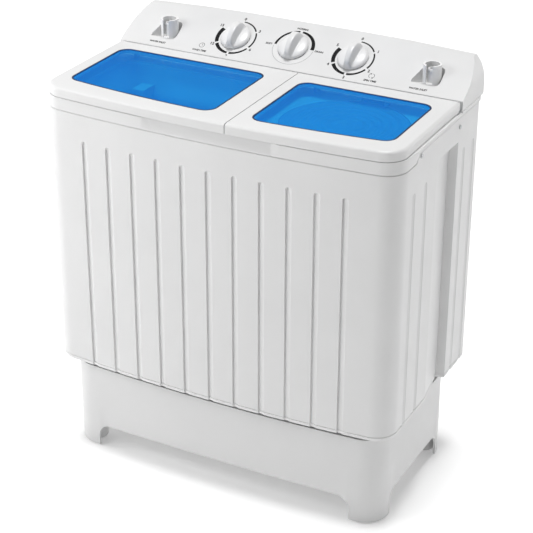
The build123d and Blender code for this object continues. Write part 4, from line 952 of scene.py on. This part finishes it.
def console_shell():
    """Console: sloped face, rounded ends and two hose pockets."""
    slope = math.tan(FACE_TILT)
    profile = [(CONSOLE_FRONT_Y, LIP_Z), (CONSOLE_FRONT_Y, FACE_START_Z),
               (FACE_TOP_Y, FACE_START_Z + (FACE_TOP_Y - CONSOLE_FRONT_Y) * slope),
               (CONSOLE_BACK_Y, FACE_START_Z + 56), (CONSOLE_BACK_Y, LIP_Z)]
    bm = bmesh.new()
    prism_along(bm, profile, -400, 400, "x")
    body = scratch_object("console_body", bm)
    bm = bmesh.new()
    prism_along(bm, console_front_outline(), 0, 300, "y")
    boolean(body, scratch_object("console_ends", bm), "INTERSECT")
    bm = bmesh.new()
    bm.from_mesh(body.data)
    bmesh.ops.remove_doubles(bm, verts=bm.verts, dist=0.01)
    bmesh.ops.dissolve_limit(bm, angle_limit=math.radians(1), verts=bm.verts, edges=bm.edges)

    def upper(edge):
        return all(v.co.z > LIP_Z + 0.5 for v in edge.verts)

    def at_front(edge):
        return upper(edge) and all(v.co.y < CONSOLE_FRONT_Y + 0.5 for v in edge.verts)

    bevel_sharp(bm, 18, 4.0, 5, lambda edge: upper(edge) and not at_front(edge))
    bevel_sharp(bm, 18, 1.0, 3, at_front)
    bm.to_mesh(body.data)
    bm.free()
    for x in POCKETS_X:
        boolean(body, pocket_tool(x), "DIFFERENCE")
    bm = bmesh.new()
    bm.from_mesh(body.data)
    bpy.data.objects.remove(body)
    bmesh.ops.remove_doubles(bm, verts=bm.verts, dist=0.01)

    def on_rim(edge):
        for x in POCKETS_X:
            inside = [x - 3.5 <= v.co.x <= x + POCKET_W + 0.5 and v.co.z > LIP_Z + 1
                      and POCKET_FRONT_Y - 0.5 <= v.co.y <= POCKET_BACK_Y + 0.5 for v in edge.verts]
            if all(inside):
                return True
        return False

    bevel_sharp(bm, 30, 0.9, 2, on_rim)
    return make_piece("console", bm, "root", "white_plastic", ["console_shell"], sharp=35)


def inlet_holder(side, left):
    """Slotted collar that holds the inlet hose, with the spigot inside it."""
    ax = left + HOLDER_X
    half_slot = 6.0
    front, behind = -math.pi / 2, 1.5 * math.pi
    outer = math.asin(half_slot / HOLDER_R)
    inner = math.asin(half_slot / HOLDER_BORE)
    outline = arc_points(ax, HOLDER_Y, HOLDER_R, front + outer, behind - outer, 40)
    outline += arc_points(ax, HOLDER_Y, HOLDER_BORE, behind - inner, front + inner, 40)
    bm = bmesh.new()
    floor = [(x, y, pocket_floor_z(y) - 1) for x, y in outline]
    made = loft(bm, [floor, [(x, y, HOLDER_TOP_Z) for x, y in outline]])
    bm.faces.new(made[0])
    cap = bm.faces.new(made[1])
    bmesh.ops.bevel(bm, geom=list(cap.edges), offset=0.7, segments=2, affect="EDGES", profile=0.5)
    spigot = ((8.0, 12), (8.4, 11), (7.4, 8), (4.9, 8), (4.5, 8.6))
    profile = [(4.5, 736), (HOLDER_R - 0.4, 736), (HOLDER_R - 0.4, 750.4), (8.6, 750.4), (8.0, 751.2)]
    lathe(bm, profile + [(r, HOLDER_TOP_Z - drop) for r, drop in spigot], ax, HOLDER_Y, 48)
    # The collar's extra-bright white is painted light on faces the lamps miss.
    make_piece("hose_collar_" + side, bm, "root", "white_plastic", ["inlet_holder_" + side], COLLAR_LIT_WHITE,
               sharp=35)


console_shell()
for hose_side, pocket_x in zip(("left", "right"), POCKETS_X):
    inlet_holder(hose_side, pocket_x)


# ---------------------------------------------------------------- knobs
KNOB_R = 28.5


def smooth(value, low, high):
    """0 below low, 1 above high, and an S curve between."""
    t = min(1.0, max(0.0, (value - low) / (high - low)))
    return t * t * (3 - 2 * t)


def knob_height(across, along):
    """Height of a knob above the face: a shallow dome with one broad rounded grip along it."""
    reach = math.hypot(across, along)
    dome = 3.6 + 6.2 * math.sqrt(max(0.0, 1 - (reach / 27.6) ** 2))
    half = 7.4 + 0.05 * along
    arch = math.sqrt(max(0.0, 1 - (along / 27.4) ** 2.0))
    grip = (15.0 + 1.2 * smooth(along, -20, 14)) * arch ** 0.7 - 1.0 * (abs(across) / half) ** 2
    flank = 1 - smooth(abs(across), half - 2.4, half + 2.8)
    return dome + max(0.0, grip) * flank


def knob(name, node, x):
    """Knob with its pointer grip up the face."""
    bm = bmesh.new()
    steps = 144
    radii = steps_between(0, 25.6, 0.8)[1:] + [26.1, 26.5, 26.9, 27.2, 27.4]
    place = face_place(x, KNOB_Y)

    def ring(radius, height=None):
        points = []
        for i in range(steps):
            a = 2 * math.pi * i / steps
            u, v = radius * math.cos(a), radius * math.sin(a)
            points.append(place @ Vector((u, v, knob_height(u, v) if height is None else height)))
        return points

    rings = [ring(r) for r in radii]
    foot = ((KNOB_R - 0.5, 3.4), (KNOB_R, 2.9), (KNOB_R, 1.3), (KNOB_R - 0.4, 0.9), (12, 0.9))
    rings += [ring(radius, height) for radius, height in foot]
    made = loft(bm, rings)
    top = bm.verts.new(place @ Vector((0, 0, knob_height(0, 0))))
    for i in range(steps):
        bm.faces.new((made[0][i], made[0][(i + 1) % steps], top))
    bm.faces.new(made[-1])
    make_piece(name, bm, node, "knob_plastic", [node], sharp=50, weighted=False)


for purpose, knob_x in zip(("wash_timer", "selector", "spin_timer"), KNOB_XS):
    knob(purpose + "_dial", purpose + "_knob", knob_x)


# ---------------------------------------------------------------- printed marks on the control face
INK_T = 0.12
RING_R = 40.0
NUMBER_SIZE = 8.2
POSITION_SIZE = 5.6
WORD_SIZE = 5.4


def arc_strip(bm, start, end, outer, first_width, last_width):
    """Thin raised strip of ink along an arc. Angles are clockwise from up the face, in degrees."""
    steps = max(4, round(abs(end - start) / 3))
    inner_ring, outer_ring = [], []
    for k in range(steps + 1):
        t = k / steps
        a = math.radians(start + (end - start) * t)
        width = first_width + (last_width - first_width) * t
        outer_ring.append((outer * math.sin(a), outer * math.cos(a)))
        inner_ring.append(((outer - width) * math.sin(a), (outer - width) * math.cos(a)))
    outline = outer_ring + inner_ring[::-1]
    prism_along(bm, outline, 0.02, INK_T, "z")


def place_print(name, bm, place, ink=PRINT_INK):
    """Puts a printed mark on the face."""
    bm.transform(place)
    make_piece(name, bm, "root", "black_rubber", material=ink, weighted=False)


def lettering(name, text, size, place):
    """Short generic lettering as a thin mesh, centred on its place."""
    curve = bpy.data.curves.new(name, "FONT")
    curve.body = text
    curve.size = size
    curve.align_x = "CENTER"
    curve.align_y = "CENTER"
    curve.extrude = INK_T / 2
    curve.offset = size * 0.03
    holder = linked(name + "_curve", curve)
    graph = bpy.context.evaluated_depsgraph_get()
    mesh = bpy.data.meshes.new_from_object(holder.evaluated_get(graph))
    bpy.data.objects.remove(holder)
    bm = bmesh.new()
    bm.from_mesh(mesh)
    bm.transform(Matrix.Translation((0, 0, INK_T / 2 + 0.02)))
    place_print(name, bm, place)


def beside_knob(x, radius, degrees):
    """Place on the face at a distance from a knob's axis, in degrees clockwise from up."""
    a = math.radians(degrees)
    return face_place(x, KNOB_Y) @ Matrix.Translation((radius * math.sin(a), radius * math.cos(a), 0))


def timer_dial(prefix, x, numbers, radius):
    """Ring that grows thicker clockwise from zero, with its numbers outside it."""
    widths = (2.4, 2.8, 3.4, 4.4, 6.8, 8.4)
    gap = 3.0
    bm = bmesh.new()
    for k in range(5):
        start = 60 * k + (gap if k else 1.0)
        arc_strip(bm, start, 60 * (k + 1) - gap, RING_R, widths[k], widths[k + 1])
    place_print(prefix + "_ring", bm, face_place(x, KNOB_Y))
    for k, number in enumerate(numbers):
        lettering(f"{prefix}_number_{number}", str(number), NUMBER_SIZE, beside_knob(x, radius, 60 * k))


def selector_marks():
    """Selector: a tapered half ring above, a thin ring below, and three positions."""
    x = KNOB_XS[1]
    bm = bmesh.new()
    arc_strip(bm, -88, -4, RING_R, 4.6, 3.4)
    arc_strip(bm, 4, 88, RING_R, 4.0, 7.4)
    place_print("selector_ring", bm, face_place(x, KNOB_Y))
    bm = bmesh.new()
    arc_strip(bm, 92, 268, RING_R, 0.6, 0.6)
    place_print("selector_thin_ring", bm, face_place(x, KNOB_Y), GREY_INK)
    for text, degrees, radius in (("SOFT", -90, 50), ("NORMAL", 0, 45), ("DRAIN", 90, 51)):
        lettering("selector_" + text.lower(), text, POSITION_SIZE, beside_knob(x, radius, degrees))


def clock_mark():
    """Small clock: a ring and two hands."""
    bm = bmesh.new()
    arc_strip(bm, 0, 180, 5.5, 0.7, 0.7)
    arc_strip(bm, 180, 360, 5.5, 0.7, 0.7)
    prism_along(bm, box_outline(-0.3, 0.3, 0, 3.6), 0.02, INK_T, "z")
    prism_along(bm, box_outline(0, 2.6, -0.3, 0.3), 0.02, INK_T, "z")
    place_print("clock_mark", bm, face_place(-178, 103))


def spin_mark():
    """Small open ring with arrow heads."""
    bm = bmesh.new()
    for start in (20, 200):
        arc_strip(bm, start, start + 130, 5.5, 0.7, 0.7)
        a = math.radians(start + 135)
        arrow = ((-0.25, 1.35), (0.3, 1.0), (-0.25, 0.65))
        tip = [(5.2 * math.sin(a + d) * s, 5.2 * math.cos(a + d) * s) for d, s in arrow]
        prism_along(bm, tip, 0.02, INK_T, "z")
    place_print("spin_mark", bm, face_place(165, 102))


timer_dial("wash_timer", KNOB_XS[0], (0, 3, 6, 9, 12, 15), 45.5)
timer_dial("spin_timer", KNOB_XS[2], (0, 1, 2, 3, 4, 5), 46.0)
selector_marks()
clock_mark()
spin_mark()
for words_name, words, words_x, words_y in (
        ("wash_time_words", "WASH TIME", -178, 92),
        ("spin_time_words", "SPIN TIME", 166, 92),
        ("water_inlet_words_left", "WATER INLET", -268, 94),
        ("water_inlet_words_right", "WATER INLET", 257, 93)):
    lettering(words_name, words, WORD_SIZE, face_place(words_x, words_y))


# ---------------------------------------------------------------- wash tub and pulsator
def wash_tub():
    """Wash tub: rim, straight walls, rounded floor edge."""
    x0, x1, y0, y1 = WASH_OPENING
    rim = DECK_Z - DECK_T - 0.05

    def loop(inset, z):
        radius = max(WASH_OPENING_R - inset, 6)
        outline = box_outline(x0 + inset, x1 - inset, y0 + inset, y1 - inset, radius, 10)
        return [(x, y, z) for x, y in outline]

    corner = 30.0
    floor_z = TUB_BOTTOM_Z + 4
    bend = []
    for k in range(7):
        a = math.pi / 2 * k / 6
        bend.append(loop(20 + corner * (1 - math.cos(a)), floor_z + corner - corner * math.sin(a)))
    shoulder = [loop(0.8, rim - 3), loop(16.0, 668), loop(19.0, 662), loop(20.0, 654)]
    rings = [loop(-8, rim - 4), loop(-8, rim), loop(-0.6, rim), loop(0, rim - 0.6)] + shoulder
    bm = bmesh.new()
    made = loft(bm, rings + bend)
    bm.faces.new(made[-1])
    outside = ((-8, rim - 4), (-3, rim - 4), (-3, TUB_BOTTOM_Z + 20), (10, TUB_BOTTOM_Z))
    outer = loft(bm, [loop(inset, z) for inset, z in outside])
    bm.faces.new(outer[-1])
    return make_piece("wash_tub_shell", bm, "root", "tub_plastic", ["wash_tub"], sharp=40)


def pulsator():
    """Pulsator: a disc with a domed hub and six curved vanes."""
    bm = bmesh.new()
    steps = 180
    base = TUB_BOTTOM_Z + 8.0

    def height(radius, a):
        swirl = a - 0.006 * radius
        vane = max(0.0, math.cos(6 * swirl)) ** 3
        body = 3 + 13 * (1 - smooth(radius, 8, 46)) + 4 * (1 - smooth(radius, 40, 100))
        return base + body + 11 * vane * smooth(radius, 18, 34) * (1 - smooth(radius, 80, 100))

    def ring(radius, z=None):
        points = []
        for i in range(steps):
            a = 2 * math.pi * i / steps
            level = height(radius, a) if z is None else z
            points.append((WASH_X + radius * math.cos(a), WASH_Y + radius * math.sin(a), level))
        return points

    rings = [ring(r) for r in steps_between(7, 102, 3)]
    rings += [ring(103.6, base + 2.2), ring(104, base + 1), ring(104, base)]
    loft(bm, [ring(7, base)] + rings + [ring(7, base)])
    return make_piece("pulsator_disc", bm, "pulsator", "tub_plastic", ["pulsator"], sharp=50, weighted=False)


wash_tub()
pulsator()


# ---------------------------------------------------------------- spin side
INNER_LID_R = 113.0


def inner_lid():
    """Round rippled safety cover with a front tab and a hinge tongue."""
    low = DECK_Z + 0.5
    profile = [(0, low)] + [(r, low) for r in (60, INNER_LID_R)]
    top = []
    for r in steps_between(INNER_LID_R, 0, 2):
        ripple = 1.0 + math.cos(r * 2 * math.pi / 15)
        rim = 1.6 * smooth(r, INNER_LID_R - 9, INNER_LID_R - 5) - smooth(r, INNER_LID_R - 2, INNER_LID_R)
        fade = smooth(r, 14, 24) * (1 - smooth(r, INNER_LID_R - 14, INNER_LID_R - 9))
        top.append((r, low + 2.0 + 1.3 * ripple * fade + rim + 1.2 * (1 - smooth(r, 8, 13))))
    bm = bmesh.new()
    lathe(bm, profile + top, SPIN_X, SPIN_Y, 120)
    front = SPIN_Y - INNER_LID_R
    prism_along(bm, box_outline(SPIN_X - 15, SPIN_X + 15, front - 8, front + 6, 4), low, low + 3, "z", 0.6)
    left, right = INNER_EARS_X[0] + EAR_T + 0.5, INNER_EARS_X[1] - 0.5
    prism_along(bm, box_outline(left, right, SPIN_Y + INNER_LID_R - 6, INNER_HINGE_Y), low, low + 3, "z")
    for radius, x0, x1 in ((3.5, left, right), (1.45, INNER_EARS_X[0] - 1, INNER_EARS_X[1] + EAR_T + 1)):
        prism_along(bm, circle(INNER_HINGE_Y, INNER_HINGE_Z, radius), x0, x1, "x")
    node = "spin_inner_lid"
    return make_piece("spin_safety_cover", bm, node, "inner_lid_plastic", [node], sharp=35)


inner_lid()


# ---------------------------------------------------------------- CAD nodes that stay
slots = {row["node"]: row["material_slot"] for row in frame["record"]["subparts"]}
for name, node in frame["nodes"].items():
    node.data.materials.clear()
    node.data.materials.append(MATERIALS[slots[name]])


# ---------------------------------------------------------------- floor, light and camera
def floor():
    """Plain white floor."""
    size = 14.0
    bm = bmesh.new()
    bmesh.ops.create_grid(bm, x_segments=2, y_segments=2, size=size)
    mesh = bpy.data.meshes.new("floor")
    bm.to_mesh(mesh)
    bm.free()
    obj = linked("floor", mesh)
    material, _, _, shader = node_tree("floor_white")
    shader.inputs["Base Color"].default_value = (0.86, 0.86, 0.86, 1)
    shader.inputs["Roughness"].default_value = 1.0
    shader.inputs["Specular IOR Level"].default_value = 0.0
    shader.inputs["Emission Color"].default_value = (1, 1, 1, 1)
    shader.inputs["Emission Strength"].default_value = 0.22
    mesh.materials.append(material)


def studio_sky():
    """White surround, brighter behind the object than in front of it."""
    world = bpy.data.worlds.new("studio")
    bpy.context.scene.world = world
    world.use_nodes = True
    nodes, links = world.node_tree.nodes, world.node_tree.links
    place = nodes.new("ShaderNodeTexCoord")
    dot = nodes.new("ShaderNodeVectorMath")
    dot.operation = "DOT_PRODUCT"
    dot.inputs[1].default_value = (0.0, 0.25, 0.0)
    links.new(place.outputs["Generated"], dot.inputs[0])
    add = nodes.new("ShaderNodeMath")
    add.operation = "ADD"
    add.inputs[1].default_value = 0.25
    links.new(dot.outputs["Value"], add.inputs[0])
    links.new(add.outputs["Value"], nodes["Background"].inputs["Strength"])
    nodes["Background"].inputs["Color"].default_value = (1, 1, 1, 1)


def soft_light(name, location, target, size, energy):
    """Large soft area light."""
    data = bpy.data.lights.new(name, "AREA")
    data.shape = "DISK"
    data.size = size
    data.energy = energy
    obj = linked(name, data)
    obj.location = location
    obj.rotation_mode = "QUATERNION"
    obj.rotation_quaternion = (Vector(target) - Vector(location)).to_track_quat("-Z", "Y")


def distant_light(name, azimuth, elevation, spread_angle, strength):
    """Light from far away. Azimuth is 0 in front and 90 on the right, in degrees."""
    data = bpy.data.lights.new(name, "SUN")
    data.energy = strength
    data.angle = math.radians(spread_angle)
    a, e = math.radians(azimuth), math.radians(elevation)
    toward = Vector((math.sin(a) * math.cos(e), -math.cos(a) * math.cos(e), math.sin(e)))
    obj = linked(name, data)
    obj.rotation_mode = "QUATERNION"
    obj.rotation_quaternion = toward.to_track_quat("Z", "Y")


def camera():
    """Camera at the viewing angle of the photograph."""
    target = Vector((0.0131, -0.0040, 0.3833))
    distance = 3.0036
    azimuth = math.radians(27.44)
    elevation = math.radians(26.97)
    roll = math.radians(0.18)
    back = Vector((math.sin(azimuth) * math.cos(elevation), -math.cos(azimuth) * math.cos(elevation),
                   math.sin(elevation)))
    data = bpy.data.cameras.new("camera")
    data.lens = 109.94
    data.sensor_width = 36.0
    obj = linked("camera", data)
    obj.location = target + back * distance
    aim = (-back).to_track_quat("-Z", "Y").to_matrix().to_4x4() @ Matrix.Rotation(roll, 4, "Z")
    obj.rotation_mode = "QUATERNION"
    obj.rotation_quaternion = aim.to_quaternion()
    bpy.context.scene.camera = obj


floor()
studio_sky()
soft_light("key", (-0.9, -1.2, 1.5), (0.0, 0.0, 0.4), 1.0, 10.2)
soft_light("grazing_fill", (-1.5, -0.5, 0.6), (0.0, 0.0, 0.4), 0.3, 5)
soft_light("side_fill", (1.3, 1.3, 0.8), (0.0, 0.0, 0.4), 1.0, 2.7)
distant_light("overhead", 0, 90, 20, 2.54)
camera()
bpy.context.scene.view_settings.view_transform = "Standard"
